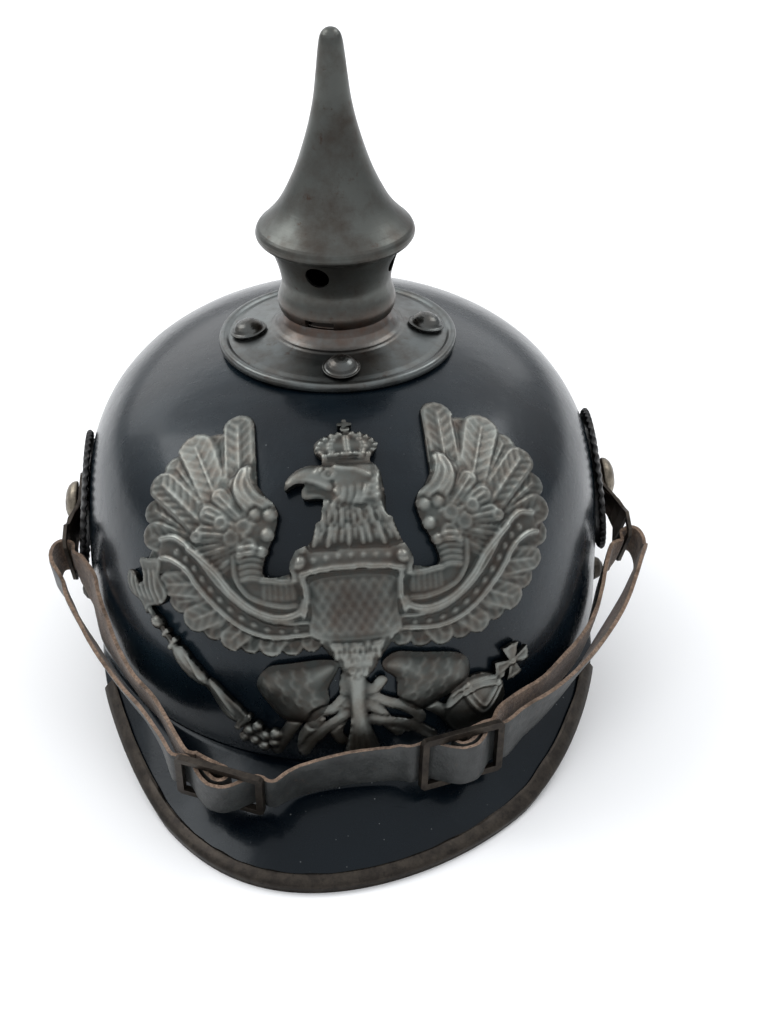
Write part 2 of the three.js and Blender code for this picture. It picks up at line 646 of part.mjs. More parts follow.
function buildBuckle(name, frame) {
  const [l, h, bar] = [BUCKLE.length / 2, BUCKLE.height / 2, BUCKLE.bar];
  const corner = 1.2;
  const shape = polygon([
    [-l + corner, -h], [l - corner, -h], [l, -h + corner], [l, h - corner],
    [l - corner, h], [-l + corner, h], [-l, h - corner], [-l, -h + corner],
  ]);
  const window = polygon([[-l + bar, -h + bar], [l - bar, -h + bar], [l - bar, h - bar], [-l + bar, h - bar]]);
  shape.holes.push(window);
  const ring = new THREE.ExtrudeGeometry(shape, { depth: BUCKLE.thickness, bevelEnabled: false });
  ring.translate(0, 0, -BUCKLE.thickness / 2);
  const middle = new THREE.BoxGeometry(bar, BUCKLE.height - bar, BUCKLE.thickness - 0.2);
  const solid = fromManifold(toManifold(ring).add(toManifold(middle)));
  add(name, weld(solid.applyMatrix4(frame)), brownSteel);
}

// Strap rows: the strap's middle and the direction of its width, leaning out from upright.
function leaning(x, y, z, lean) {
  const outward = new THREE.Vector3(x, y, 0).normalize();
  const up = outward.multiplyScalar(Math.sin(radians(lean))).setZ(Math.cos(radians(lean)));
  return { at: new THREE.Vector3(x, y, z), up };
}

// Places [along, out] rows in a buckle's frame.
function inBuckle(frame, rows) {
  const up = new THREE.Vector3().setFromMatrixColumn(frame, 1);
  return rows.map(([along, out]) => ({ at: new THREE.Vector3(along, 0, out).applyMatrix4(frame), up }));
}

// The end of the strap turns round the buckle's middle bar; side is -1 where it comes from -X.
function foldedEnd(frame, side) {
  const rows = [
    [14, -5.4], [9.5, -4.6], [4.8, -3.5], [1.4, -2.95], [-0.9, -2.6], [-2.3, -1.55], [-2.8, 0],
    [-2.3, 1.55], [-0.9, 2.6], [1.0, 2.6], [2.8, 1.8], [4.8, 0.4], [6.9, -1.35],
  ];
  return inBuckle(frame, rows.map(([along, out]) => [side * along, out]));
}

// Under one side bar, out over the middle bar and under the other side bar.
function overMiddleBar(frame) {
  const half = [[17, -2.2], [13.4, -2.5], [11.4, -2.4], [8.8, -0.3], [5.6, 2.9], [2.8, 4.7]];
  const left = half.map(([along, out]) => [-along, out]);
  return inBuckle(frame, [...left, [0, 5.1], ...half.reverse()]);
}

// The turn through the lug: from the outer strand over the lug's foot into the inner one. Rows are
// [out from the foot, towards the post from the window's sill] in the lug's own plane.
function lugTurn({ side, swing, offset, reach }) {
  const middle = LUG_SEAT + LUG.sheet / 2 + offset;
  const frame = postMatrix(side).multiply(new THREE.Matrix4().makeRotationZ(radians(-side * swing)));
  const twist = radians(LUG.twist);
  const up = new THREE.Vector3(-side * Math.cos(twist), 0, Math.sin(twist)).transformDirection(frame);
  const rows = [
    [reach * 0.96, -6.4], [reach, -2.6], [reach * 0.8, 0.6], [reach * 0.35, 2.1],
    [-1.2, 1.7], [-2.3, 0.3], [-2.7, -2.6],
  ];
  return rows.map(([out, along]) => {
    const at = new THREE.Vector3(0, LUG.sillY + along, middle + out).applyMatrix4(frame);
    return { at, up };
  });
}

const LEFT_OUTER = [
  leaning(-62.2, -101.5, 28.0, 20), leaning(-67.6, -88.2, 29.0, 26), leaning(-74.2, -76.2, 30.0, 28),
  leaning(-82.4, -60.8, 33.0, 28), leaning(-88.0, -50.7, 37.0, 24), leaning(-92.6, -43.0, 41.2, 18),
  leaning(-95.6, -36.4, 45.4, 14),
];
const LEFT_INNER = [
  leaning(-89.4, -30.4, 49.4, 6), leaning(-86.0, -36.8, 46.6, 0), leaning(-84.4, -42.6, 43.4, 0),
  leaning(-82.0, -50.6, 39.4, 0), leaning(-77.6, -60.4, 35.4, 10), leaning(-70.6, -75.2, 32.4, 18),
  leaning(-63.2, -87.6, 30.6, 18),
];
const RIGHT_INNER = [
  leaning(46.6, -97.4, 27.8, 2), leaning(52.9, -90.8, 28.6, 8), leaning(60.8, -83.7, 29.1, 12),
  leaning(68.0, -73.9, 29.7, 14), leaning(76.5, -62.2, 31.2, 15), leaning(81.8, -52.6, 33.6, 15),
  leaning(85.2, -43.9, 37.0, 14), leaning(88.2, -35.2, 41.6, 12), leaning(91.2, -28.6, 45.0, 12),
];
const RIGHT_OUTER = [
  leaning(100.8, -32.6, 44.4, 16), leaning(97.4, -38.8, 40.6, 22), leaning(92.6, -46.6, 36.4, 30),
  leaning(87.6, -54.0, 33.2, 34), leaning(80.0, -65.6, 30.2, 32), leaning(71.8, -77.4, 28.9, 28),
  leaning(63.0, -88.6, 28.2, 20), leaning(54.0, -97.2, 27.5, 10),
];
const FRONT = [leaning(-19.5, -118.6, 24.1, 14), leaning(-4, -115.8, 26, 9), leaning(11, -115, 26.6, 6)];

function strapRows() {
  return [
    ...foldedEnd(LEFT_BUCKLE, -1).reverse(), ...LEFT_INNER.slice().reverse(),
    ...lugTurn(LEFT_LUG).reverse(), ...LEFT_OUTER.slice().reverse(),
    ...overMiddleBar(LEFT_BUCKLE), ...FRONT, ...overMiddleBar(RIGHT_BUCKLE),
    ...RIGHT_OUTER.slice().reverse(), ...lugTurn(RIGHT_LUG), ...RIGHT_INNER.slice().reverse(),
    ...foldedEnd(RIGHT_BUCKLE, 1),
  ];
}

function buildChinStrap() {
  const rows = strapRows();
  const path = new THREE.CatmullRomCurve3(rows.map((r) => r.at), false, 'centripetal');
  const sections = rows.map(({ at, up: width }, i) => {
    const along = path.getTangent(i / (rows.length - 1));
    const up = width.clone();
    up.addScaledVector(along, -up.dot(along)).normalize().multiplyScalar(STRAP.width / 2);
    const out = along.clone().cross(up).normalize().multiplyScalar(STRAP.thickness / 2);
    const corner = (u, o) => at.clone().addScaledVector(up, u).addScaledVector(out, o);
    return [corner(1, 1), corner(-1, 1), corner(-1, -1), corner(1, -1)];
  });
  add('chin_strap', sweep(sections, false, pairedEnd(2)), strapLeather);
}

// ---------------------------------------------------------------- assembly
buildSkull();
buildFrontVisor();
buildVisorTrim();
buildRearVisor();
buildSpikeBase();
buildSpike();
buildStuds();
buildEaglePlate();
for (const [word, side] of [['left', -1], ['right', 1]]) {
  buildCockade(`cockade_${word}`, side);
  buildPost(`side_post_${word}`, side);
  buildRivet(`side_rivet_${word}`, side);
}
buildLug('strap_lug_left', LEFT_LUG);
buildLug('strap_lug_right', RIGHT_LUG);
buildBuckle('buckle_left', LEFT_BUCKLE);
buildBuckle('buckle_right', RIGHT_BUCKLE);
buildChinStrap();

export default helmet;
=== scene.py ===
"""Looks of the spiked helmet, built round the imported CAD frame.

Shapes are worked out in millimetres, with the origin on the table under the spike's axis and the
front facing -Y, and turned into metres where the meshes are made.
"""
import math

import bmesh
import bpy
import numpy as np
from mathutils import Matrix, Vector, noise


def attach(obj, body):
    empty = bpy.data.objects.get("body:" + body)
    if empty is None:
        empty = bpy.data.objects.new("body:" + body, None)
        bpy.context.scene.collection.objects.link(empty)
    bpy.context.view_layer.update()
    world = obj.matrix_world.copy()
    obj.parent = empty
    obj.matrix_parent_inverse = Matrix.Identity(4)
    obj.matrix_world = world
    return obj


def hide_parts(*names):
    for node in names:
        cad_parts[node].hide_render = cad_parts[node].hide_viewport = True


MM = 0.001
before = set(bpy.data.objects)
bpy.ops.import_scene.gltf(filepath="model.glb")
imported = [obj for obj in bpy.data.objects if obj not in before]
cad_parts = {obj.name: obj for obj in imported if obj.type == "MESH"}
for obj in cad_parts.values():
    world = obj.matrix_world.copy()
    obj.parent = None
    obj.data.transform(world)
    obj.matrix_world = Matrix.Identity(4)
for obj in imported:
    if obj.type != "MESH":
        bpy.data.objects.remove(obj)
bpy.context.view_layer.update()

# Sizes in millimetres and angles in degrees. Most of them are the CAD part's.
GAP = 0.35
SKULL = {"half_width": 89.3, "half_length": 106.0, "brim_z": 20.9, "rise": 101.4, "rise_power": 4.65,
         "plan_power": 2.1, "wall": 2.5, "hole": 13.0, "swell": 0.22, "swell_size": 26.0}
VISOR = {"half_width": 90.0, "reach": 145.0, "flange": 2.9, "sheet": 2.0, "bulge": 1.0, "flat_angle": 40.0,
         "top_angle": 72.0, "end_angle": 82.0, "end_lift": 16.5, "warp": 13.0, "tuck": 2.0,
         "tuck_angle": 66.0, "rear_sheet": 2.4}
TRIM = {"metal": 0.8, "top_leg": 4.2, "bottom_leg": 4.2, "foot": 1.8, "end_angle": 68.4}
COLLAR = {"bore": 15.2, "outer": 16.6, "shoulder_z": 131.2, "top_z": 139.5}
PLATE = {"radius": 40.0, "stud_circle": 30.0, "stud_z": 123.9}
DISH = {"depth": 0.5, "radius": 8.2, "squash": 1.25, "above_z": 121.6}
NOTCH = {"start": -35.0, "end": -5.5, "inner": 15.5, "outer": 24.0, "low_z": 130.0, "top_z": 134.55}
VENT = {"radius": 4.0, "z": 150.9, "first_angle": -20}
STUDS = {"front": 0, "right": 90, "rear": 180, "left": 270}
POST = {"y": 2.5, "left_z": 58.0, "right_z": 59.2, "lean": 5.5, "shank": 3.0}
COCKADE = {"thickness": 1.5, "seat": 0.5, "flutes": 44, "flutes_from": 19.0}
LUG = {"sheet": 1.2, "sill": -28.3, "twist": 12.5}
LUG_SEAT = COCKADE["seat"] + COCKADE["thickness"] + GAP
LEFT_LUG = {"side": -1, "swing": 75.0, "offset": 1.8, "reach": 4.8}
RIGHT_LUG = {"side": 1, "swing": 63.0, "offset": 4.2, "reach": 4.9}
STRAP = {"width": 14.0, "thickness": 1.8}
EAGLE = {"turn": 2.0, "pivot_y": 50.0, "head_shift": 1.3, "back_gap": 0.45, "least_height": 1.1,
         "centre_z": 25.0}

# place and target in millimetres, roll in degrees
CAMERA = {"place": (-20.4, -669.3, 452.0), "target": (14.9, 0.0, 50.2), "lens": 77.34, "roll": -0.74}
# name, place and size in metres, power in watts; all aim at LAMP_TARGET
LAMP_TARGET = (0.0, 0.0, 0.08)
LAMPS = [
    ("high_left", (-0.95, 0.35, 1.1), (0.85, 0.85), 8.0), ("high_right", (0.85, 0.45, 1.1), (0.6, 0.6), 4.6),
    ("back_left", (-0.6, 1.3, 0.6), (1.3, 0.6), 2.6), ("back_right", (0.55, 1.35, 0.55), (0.7, 0.4), 0.8),
]
# The glow is low from the horizon down, and high from the direction whose z is full_above.
ROOM = {"colour": (0.95, 0.97, 1.0, 1.0), "low": 0.28, "high": 1.15, "full_above": 0.55}
FLOOR = {"reach": 30.0, "colour": (0.93, 0.93, 0.93, 1.0), "roughness": 0.9}


# ---------------------------------------------------------------- camera, light and floor
def add_aimed(name, data, place, target, roll=0.0):
    thing = bpy.data.objects.new(name, data)
    bpy.context.scene.collection.objects.link(thing)
    place = Vector(place)
    aim = (Vector(target) - place).to_track_quat("-Z", "Y").to_matrix().to_4x4()
    thing.matrix_world = Matrix.Translation(place) @ aim @ Matrix.Rotation(math.radians(roll), 4, "Z")
    return thing


def add_camera():
    data = bpy.data.cameras.new("camera")
    data.lens = CAMERA["lens"]
    data.sensor_width = 36.0
    place, target = Vector(CAMERA["place"]) * MM, Vector(CAMERA["target"]) * MM
    bpy.context.scene.camera = add_aimed("camera", data, place, target, CAMERA["roll"])


def add_studio():
    """A white room, darker near the floor, with four soft lamps."""
    bpy.context.scene.view_settings.view_transform = "Standard"
    world = bpy.data.worlds.new("studio")
    bpy.context.scene.world = world
    world.use_nodes = True
    tree = world.node_tree
    split = tree.nodes.new("ShaderNodeSeparateXYZ")
    tree.links.new(tree.nodes.new("ShaderNodeTexCoord").outputs["Generated"], split.inputs[0])
    strength = map_range(tree, split.outputs["Z"], (0.0, ROOM["full_above"]), (ROOM["low"], ROOM["high"]))
    background = tree.nodes["Background"]
    background.inputs["Color"].default_value = ROOM["colour"]
    tree.links.new(strength, background.inputs["Strength"])
    for name, place, size, power in LAMPS:
        data = bpy.data.lights.new(name, "AREA")
        data.shape = "RECTANGLE"
        data.size, data.size_y = size
        data.energy = power
        add_aimed(name, data, place, LAMP_TARGET)


def add_floor():
    mesh = bpy.data.meshes.new("floor")
    reach = FLOOR["reach"]
    corners = [(x * reach, y * reach, 0) for x, y in ((-1, -1), (1, -1), (1, 1), (-1, 1))]
    mesh.from_pydata(corners, [], [(0, 1, 2, 3)])
    floor = bpy.data.objects.new("floor", mesh)
    bpy.context.scene.collection.objects.link(floor)
    paper = bpy.data.materials.new("floor_paper")
    paper.use_nodes = True
    shader = paper.node_tree.nodes["Principled BSDF"]
    shader.inputs["Base Color"].default_value = FLOOR["colour"]
    shader.inputs["Roughness"].default_value = FLOOR["roughness"]
    mesh.materials.append(paper)


# ---------------------------------------------------------------- material helpers
def map_range(tree, value, source, target):
    made = tree.nodes.new("ShaderNodeMapRange")
    tree.links.new(value, made.inputs["Value"])
    made.inputs["From Min"].default_value, made.inputs["From Max"].default_value = source
    made.inputs["To Min"].default_value, made.inputs["To Max"].default_value = target
    return made.outputs["Result"]


class Surface:
    """A node material written as short calls. Sizes of patterns are given in millimetres."""

    def __init__(self, name, metallic=0.0, roughness=0.5, specular=0.5):
        self.material = bpy.data.materials.new(name)
        self.material.use_nodes = True
        self.tree = self.material.node_tree
        self.shader = self.tree.nodes["Principled BSDF"]
        self.shader.inputs["Metallic"].default_value = metallic
        self.shader.inputs["Roughness"].default_value = roughness
        self.shader.inputs["Specular IOR Level"].default_value = specular
        self.place = self.node("ShaderNodeTexCoord").outputs["Object"]

    def node(self, kind, **settings):
        made = self.tree.nodes.new(kind)
        for key, value in settings.items():
            setattr(made, key, value)
        return made

    def feed(self, socket, value):
        if isinstance(value, bpy.types.NodeSocket):
            self.tree.links.new(value, socket)
        else:
            socket.default_value = value

    def stretched(self, x=1.0, y=1.0, z=1.0):
        mapping = self.node("ShaderNodeMapping")
        self.feed(mapping.inputs["Vector"], self.place)
        mapping.inputs["Scale"].default_value = (x, y, z)
        return mapping.outputs["Vector"]

    def noise(self, size, detail=3.0, rough=0.55, vector=None):
        made = self.node("ShaderNodeTexNoise")
        made.inputs["Scale"].default_value = 1000.0 / size
        made.inputs["Detail"].default_value = detail
        made.inputs["Roughness"].default_value = rough
        self.feed(made.inputs["Vector"], vector or self.place)
        return made.outputs["Fac"]

    def patches(self, size, detail, rough, low, high, most=1.0):
        """Clouds of noise: 0 below low, most above high."""
        return self.steps(self.noise(size, detail, rough), (low, 0.0), (high, most))

    def cells(self, size, feature="F1"):
        made = self.node("ShaderNodeTexVoronoi", feature=feature)
        made.inputs["Scale"].default_value = 1000.0 / size
        self.feed(made.inputs["Vector"], self.place)
        return made.outputs["Distance"]

    def height(self, low, high):
        """0 below low and 1 above high, in millimetres over the table; low may be the higher one."""
        split = self.node("ShaderNodeSeparateXYZ")
        self.feed(split.inputs[0], self.place)
        return map_range(self.tree, split.outputs["Z"], (low * MM, high * MM), (0.0, 1.0))

    def attribute(self, name):
        return self.node("ShaderNodeAttribute", attribute_name=name).outputs["Fac"]

    def steps(self, value, *stops):
        """Maps a number through (position, grey or colour) stops."""
        ramp = self.node("ShaderNodeValToRGB")
        self.feed(ramp.inputs["Fac"], value)
        elements = ramp.color_ramp.elements
        while len(elements) < len(stops):
            elements.new(0.5)
        for element, (position, colour) in zip(elements, stops):
            element.position = position
            element.color = (*colour, 1.0) if isinstance(colour, tuple) else (colour, colour, colour, 1.0)
        return ramp.outputs["Color"]

    def times(self, a, b):
        made = self.node("ShaderNodeMath", operation="MULTIPLY")
        self.feed(made.inputs[0], a)
        self.feed(made.inputs[1], b)
        return made.outputs[0]

    def blend(self, factor, a, b):
        made = self.node("ShaderNodeMix", data_type="RGBA")
        self.feed(made.inputs["Factor"], factor)
        for socket, colour in (("A", a), ("B", b)):
            self.feed(made.inputs[socket], (*colour, 1.0) if isinstance(colour, tuple) else colour)
        return made.outputs["Result"]

    def colour(self, value):
        self.feed(self.shader.inputs["Base Color"], value)

    def roughness(self, value, low, high):
        self.feed(self.shader.inputs["Roughness"], map_range(self.tree, value, (0.0, 1.0), (low, high)))

    def bump(self, *layers):
        """Each layer is (height, depth in mm)."""
        normal = None
        for height, depth in layers:
            made = self.node("ShaderNodeBump")
            made.inputs["Strength"].default_value = 1.0
            made.inputs["Distance"].default_value = depth * MM
            self.feed(made.inputs["Height"], height)
            if normal:
                self.feed(made.inputs["Normal"], normal)
            normal = made.outputs["Normal"]
        self.feed(self.shader.inputs["Normal"], normal)


# A colour scaled by a painted light factor.
def scaled(colour, light):
    return tuple(part * light for part in colour)


def lacquer(name, haze, shine):
    """Black lacquered leather: cloudy blue-grey bloom, fine grain, dust specks and hair scratches."""
    s = Surface(name, roughness=0.2, specular=shine)
    s.shader.inputs["Specular Tint"].default_value = (0.82, 0.93, 1.0, 1.0)
    bloom = s.patches(42.0, 4.0, 0.55, 0.38, 0.72, haze)
    base = s.blend(bloom, (0.0008, 0.0022, 0.0042), (0.0065, 0.0125, 0.0175))
    brown = s.patches(9.0, 5.0, 0.7, 0.64, 0.8, 0.3)
    base = s.blend(brown, base, (0.009, 0.008, 0.007))
    dust = s.steps(s.cells(4.5), (0.035, 0.75), (0.065, 0.0))
    patchy = s.steps(s.noise(30.0, 3.0), (0.45, 0.15), (0.65, 1.0))
    s.colour(s.blend(s.times(dust, patchy), base, (0.20, 0.21, 0.21)))
    s.roughness(s.noise(14.0, 6.0, 0.7), 0.18, 0.36)
    s.shader.inputs["Coat Weight"].default_value = 0.25
    s.shader.inputs["Coat Roughness"].default_value = 0.13
    s.shader.inputs["Coat IOR"].default_value = 1.35
    scratch = s.steps(s.noise(1.3, 1.0, 0.4, s.stretched(0.09, 1.0, 0.5)), (0.70, 0.0), (0.76, 1.0))
    s.bump((s.cells(1.1, "DISTANCE_TO_EDGE"), 0.012), (s.noise(11.0, 4.0), 0.22), (scratch, 0.02))
    return s.material


def grey_steel(name, green, brown, smooth, rough, stain=None, painted_shade_above=None):
    """Dull steel in two colours of patina, with rust and fine turning marks round the axis.

    stain holds the two heights between which rusty brown sets in; above the height given last the steel is
    painted near black, a painted shade on the collar where it shows through the spike's notches.
    """
    s = Surface(name, metallic=1.0)
    patina = s.patches(16.0, 6.0, 0.65, 0.42, 0.68)
    base = s.blend(patina, green, brown)
    rust = s.patches(5.0, 5.0, 0.7, 0.62, 0.72, 0.8)
    base = s.blend(rust, base, (0.055, 0.034, 0.026))
    if stain:
        cloud = s.steps(s.noise(6.0, 5.0, 0.7), (0.36, 0.25), (0.62, 0.85))
        base = s.blend(s.times(s.height(*stain), cloud), base, (0.105, 0.066, 0.050))
    if painted_shade_above:
        # painted shade: near black above this height, for the collar in the shadow of the notches
        base = s.blend(s.height(painted_shade_above, painted_shade_above + 0.4), base, (0.012, 0.010, 0.009))
    s.colour(base)
    s.roughness(s.noise(4.0, 5.0, 0.7), smooth, rough)
    turning = s.noise(0.9, 2.0, 0.5, s.stretched(0.06, 0.06, 1.0))
    s.bump((turning, 0.02), (s.noise(3.0, 5.0, 0.7), 0.05))
    return s.material


def plate_steel():
    """Stamped grey steel: ridges rubbed bright, hollows dark with brown; the ridge attribute also carries
    painted light and shade, lighter on the plate's lower part and darker on the thighs.
    """
    s = Surface("eagle_steel", metallic=1.0)
    ridge = s.attribute("ridge")
    patina = s.patches(7.0, 5.0, 0.7, 0.40, 0.65)
    hollow = s.blend(patina, (0.042, 0.046, 0.043), (0.050, 0.042, 0.036))
    rubbed = s.blend(patina, (0.222, 0.232, 0.215), (0.170, 0.160, 0.140))
    base = s.blend(s.steps(ridge, (0.34, 0.0), (0.78, 1.0)), hollow, rubbed)
    s.colour(s.blend(s.times(s.attribute("tint"), 0.7), base, (0.050, 0.028, 0.022)))
    s.roughness(s.noise(2.2, 5.0, 0.7), 0.28, 0.52)
    s.bump((s.noise(0.7, 4.0, 0.7), 0.05))
    return s.material


def brown_steel(name, light):
    """Dark olive-brown steel, rubbed along its length; its colours are scaled by a painted light factor, so
    each part gets a lighter or darker copy.
    """
    s = Surface(name, metallic=0.9)
    wear = s.patches(5.0, 6.0, 0.75, 0.40, 0.68)
    # painted light: both colours are scaled per part
    base = s.blend(wear, scaled((0.026, 0.022, 0.019), light), scaled((0.056, 0.047, 0.038), light))
    dark = s.patches(1.6, 4.0, 0.7, 0.55, 0.7, 0.7)
    s.colour(s.blend(dark, base, (0.013, 0.012, 0.011)))
    s.roughness(s.noise(2.5, 5.0, 0.7), 0.32, 0.6)
    s.bump((s.noise(1.0, 5.0, 0.7), 0.04), (s.noise(9.0, 3.0), 0.15))
    return s.material


def black_enamel():
    s = Surface("cockade_enamel", metallic=0.6)
    worn = s.patches(2.6, 6.0, 0.75, 0.52, 0.7, 0.9)
    s.colour(s.blend(worn, (0.012, 0.012, 0.012), (0.055, 0.047, 0.042)))
    s.roughness(s.noise(1.6, 4.0, 0.7), 0.35, 0.65)
    s.bump((s.noise(0.9, 4.0, 0.7), 0.04))
    return s.material


def aged_brass():
    s = Surface("aged_brass", metallic=1.0)
    tarnish = s.patches(4.0, 6.0, 0.7, 0.38, 0.66)
    s.colour(s.blend(tarnish, (0.24, 0.21, 0.165), (0.095, 0.082, 0.066)))
    s.roughness(s.noise(2.0, 4.0, 0.7), 0.3, 0.6)
    s.bump((s.noise(1.2, 4.0, 0.7), 0.06))
    return s.material


def strap_grain():
    """The strap's finished side: black, cracked across, greyed where it bends."""
    s = Surface("strap_grain", roughness=0.5)
    worn = s.patches(7.0, 6.0, 0.75, 0.38, 0.72)
    base = s.blend(worn, (0.014, 0.0155, 0.0155), (0.038, 0.041, 0.040))
    brown = s.patches(2.4, 5.0, 0.75, 0.60, 0.76, 0.8)
    s.colour(s.blend(brown, base, (0.065, 0.042, 0.028)))
    s.roughness(s.noise(3.0, 4.0, 0.6), 0.34, 0.6)
    s.bump((s.cells(1.3, "DISTANCE_TO_EDGE"), 0.09), (s.noise(5.0, 4.0), 0.3))
    return s.material


def strap_suede(name, light):
    """Raw leather: the flesh side and the cut edges, with loose pale fibres; a painted light factor scales
    the colours, and the cut edges get a lighter copy as a painted highlight.
    """
    s = Surface(name, roughness=0.95, specular=0.15)
    fibre = s.patches(0.9, 6.0, 0.8, 0.32, 0.68)
    # painted light: the colours are scaled by the factor given
    base = s.blend(fibre, scaled((0.062, 0.038, 0.025), light), scaled((0.27, 0.190, 0.137), light))
    stain = s.patches(6.0, 4.0, 0.7, 0.45, 0.7, 0.75)
    s.colour(s.blend(stain, base, (0.030, 0.020, 0.014)))
    s.shader.inputs["Sheen Weight"].default_value = 0.25
    s.bump((s.noise(0.6, 6.0, 0.8), 0.22), (s.noise(2.2, 4.0, 0.7), 0.3))
    return s.material


# ---------------------------------------------------------------- mesh helpers
def add_piece(name, corners, faces, body, materials, slots=None, sharp=40.0, replaces=()):
    """corners in mm. slots gives each face's material number."""
    mesh = bpy.data.meshes.new(name)
    mesh.from_pydata((np.asarray(corners, float) * MM).tolist(), [], faces)
    for material in materials:
        mesh.materials.append(material)
    if slots is not None:
        mesh.polygons.foreach_set("material_index", slots)
    mesh.update()
    mesh.shade_smooth()
    mesh.set_sharp_from_angle(angle=math.radians(sharp))
    piece = bpy.data.objects.new(name, mesh)
    bpy.context.scene.collection.objects.link(piece)
    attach(piece, body)
    if replaces:
        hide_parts(*replaces)
    return piece


def grid_faces(rows, size, closed):
    """Quads of a tube: rows sections of size corners each."""
    faces = []
    for i in range(rows if closed else rows - 1):
        here, there = i * size, (i + 1) % rows * size
        for k in range(size):
            m = (k + 1) % size
            faces.append((here + k, here + m, there + m, there + k))
    return faces


def tube(sections, closed=False):
    """Corners and faces of a body swept through equal closed sections, with its ends capped."""
    sections = np.asarray(sections, float)
    rows, size = sections.shape[:2]
    faces = grid_faces(rows, size, closed)
    if not closed:
        faces.append(tuple(reversed(range(size))))
        faces.append(tuple((rows - 1) * size + k for k in range(size)))
    corners = sections.reshape(-1, 3)
    return corners, outward(corners, faces)


def outward(corners, faces):
    """Turns the faces over when they enclose a negative volume."""
    volume = 0.0
    for face in faces:
        a = corners[face[0]]
        for k in range(1, len(face) - 1):
            volume += float(np.dot(a, np.cross(corners[face[k]], corners[face[k + 1]])))
    return faces if volume > 0 else [tuple(reversed(face)) for face in faces]


def smooth_path(points, count, closed=False):
    """count points along a Catmull-Rom curve through points, evenly spaced."""
    p = np.asarray(points, float)
    p = np.vstack([p[-1], p, p[0], p[1]]) if closed else np.vstack([2 * p[0] - p[1], p, 2 * p[-1] - p[-2]])
    pieces = []
    for i in range(1, len(p) - 2):
        t = np.linspace(0, 1, 16, endpoint=False)[:, None]
        a, b, c, d = p[i - 1], p[i], p[i + 1], p[i + 2]
        pieces.append(0.5 * (2 * b + (c - a) * t + (2 * a - 5 * b + 4 * c - d) * t ** 2
                             + (3 * b - a - 3 * c + d) * t ** 3))
    fine = np.vstack(pieces + [p[-2][None]])
    length = np.r_[0, np.cumsum(np.linalg.norm(np.diff(fine, axis=0), axis=1))]
    at = np.linspace(0, length[-1], count, endpoint=not closed)
    return np.stack([np.interp(at, length, fine[:, k]) for k in range(p.shape[1])], 1)


def rounded(profile, radius, arc=3):
    """Rounds each corner of a closed 2-D outline."""
    p = np.asarray(profile, float)
    out = []
    for i, corner in enumerate(p):
        before, after = p[i - 1] - corner, p[(i + 1) % len(p)] - corner
        back, ahead = np.linalg.norm(before), np.linalg.norm(after)
        cut = min(radius, 0.45 * back, 0.45 * ahead)
        start, end = corner + before / back * cut, corner + after / ahead * cut
        for t in np.linspace(0, 1, arc + 1):
            out.append((1 - t) ** 2 * start + 2 * t * (1 - t) * corner + t ** 2 * end)
    return np.array(out)


def revolved(profile, segments, ripple=None):
    """Sections of a closed (radius, z) outline turned about Z. ripple(angle, r, z) returns changed r, z."""
    profile = np.asarray(profile, float)
    sections = []
    for angle in np.linspace(0, 2 * math.pi, segments, endpoint=False):
        r, z = profile[:, 0], profile[:, 1]
        if ripple:
            r, z = ripple(angle, r, z)
        sections.append(np.stack([r * math.sin(angle), -r * math.cos(angle), z], 1))
    return sections


def welded(piece, distance=0.01):
    """Joins corners that meet, such as a turned form's corners on its axis."""
    work = bmesh.new()
    work.from_mesh(piece.data)
    bmesh.ops.remove_doubles(work, verts=work.verts, dist=distance * MM)
    bmesh.ops.dissolve_degenerate(work, edges=work.edges, dist=distance * MM * 0.1)
    bmesh.ops.recalc_face_normals(work, faces=work.faces)
    work.to_mesh(piece.data)
    work.free()
    piece.data.update()


def turned(name, profile, body, material, segments=96, radius=0.3, ripple=None, replaces=(), sharp=40.0):
    """A piece turned on a lathe from a closed outline whose corners are rounded."""
    corners, faces = tube(revolved(rounded(profile, radius), segments, ripple), closed=True)
    piece = add_piece(name, corners, faces, body, [material], sharp=sharp, replaces=replaces)
    welded(piece)
    return piece


# ---------------------------------------------------------------- skull surface
def section_scale(z, inset=0.0):
    """The size of the skull's outline at a height, as a share of the brim's."""
    t = np.clip((np.asarray(z, float) - SKULL["brim_z"]) / (SKULL["rise"] - inset), 0.0, 1.0)
    return (1 - t ** SKULL["rise_power"]) ** (1 / SKULL["plan_power"])


def height_at_scale(scale, inset=0.0):
    """The height at which the skull's outline has a share of the brim's size."""
    t = (1 - np.asarray(scale, float) ** SKULL["plan_power"]) ** (1 / SKULL["rise_power"])
    return SKULL["brim_z"] + (SKULL["rise"] - inset) * t


def build_skull(material):
    hole, mean_radius = SKULL["hole"] / SKULL["half_width"], 95.0
    scales = np.r_[0.9999, np.sin(np.linspace(math.radians(86), math.asin(hole), 54))]
    profile = []
    for inset, side in ((0.0, 1), (SKULL["wall"], -1)):
        wall = np.linspace(SKULL["brim_z"], height_at_scale(0.998, inset), 22)[:-1]
        z = np.sort(np.r_[wall, height_at_scale(scales[1:], inset)])
        profile.append([(inset, h) for h in z][::side])
    rows = profile[0] + profile[1]
    sections = []
    for angle in np.linspace(0, 2 * math.pi, 200, endpoint=False):
        section = []
        for inset, z in rows:
            scale = float(section_scale(z, inset))
            x = (SKULL["half_width"] - inset) * scale * math.sin(angle)
            y = -(SKULL["half_length"] - inset) * scale * math.cos(angle)
            wave = noise.noise(Vector((x, y, z)) / SKULL["swell_size"])
            swell = SKULL["swell"] * wave if inset == 0.0 else 0.0
            grow = 1 + swell / mean_radius
            section.append((x * grow, y * grow, z + swell * (1 - scale)))
        sections.append(section)
    corners, faces = tube(sections, closed=True)
    add_piece("skull_shell", corners, faces, "helmet", [material], replaces=("skull",))


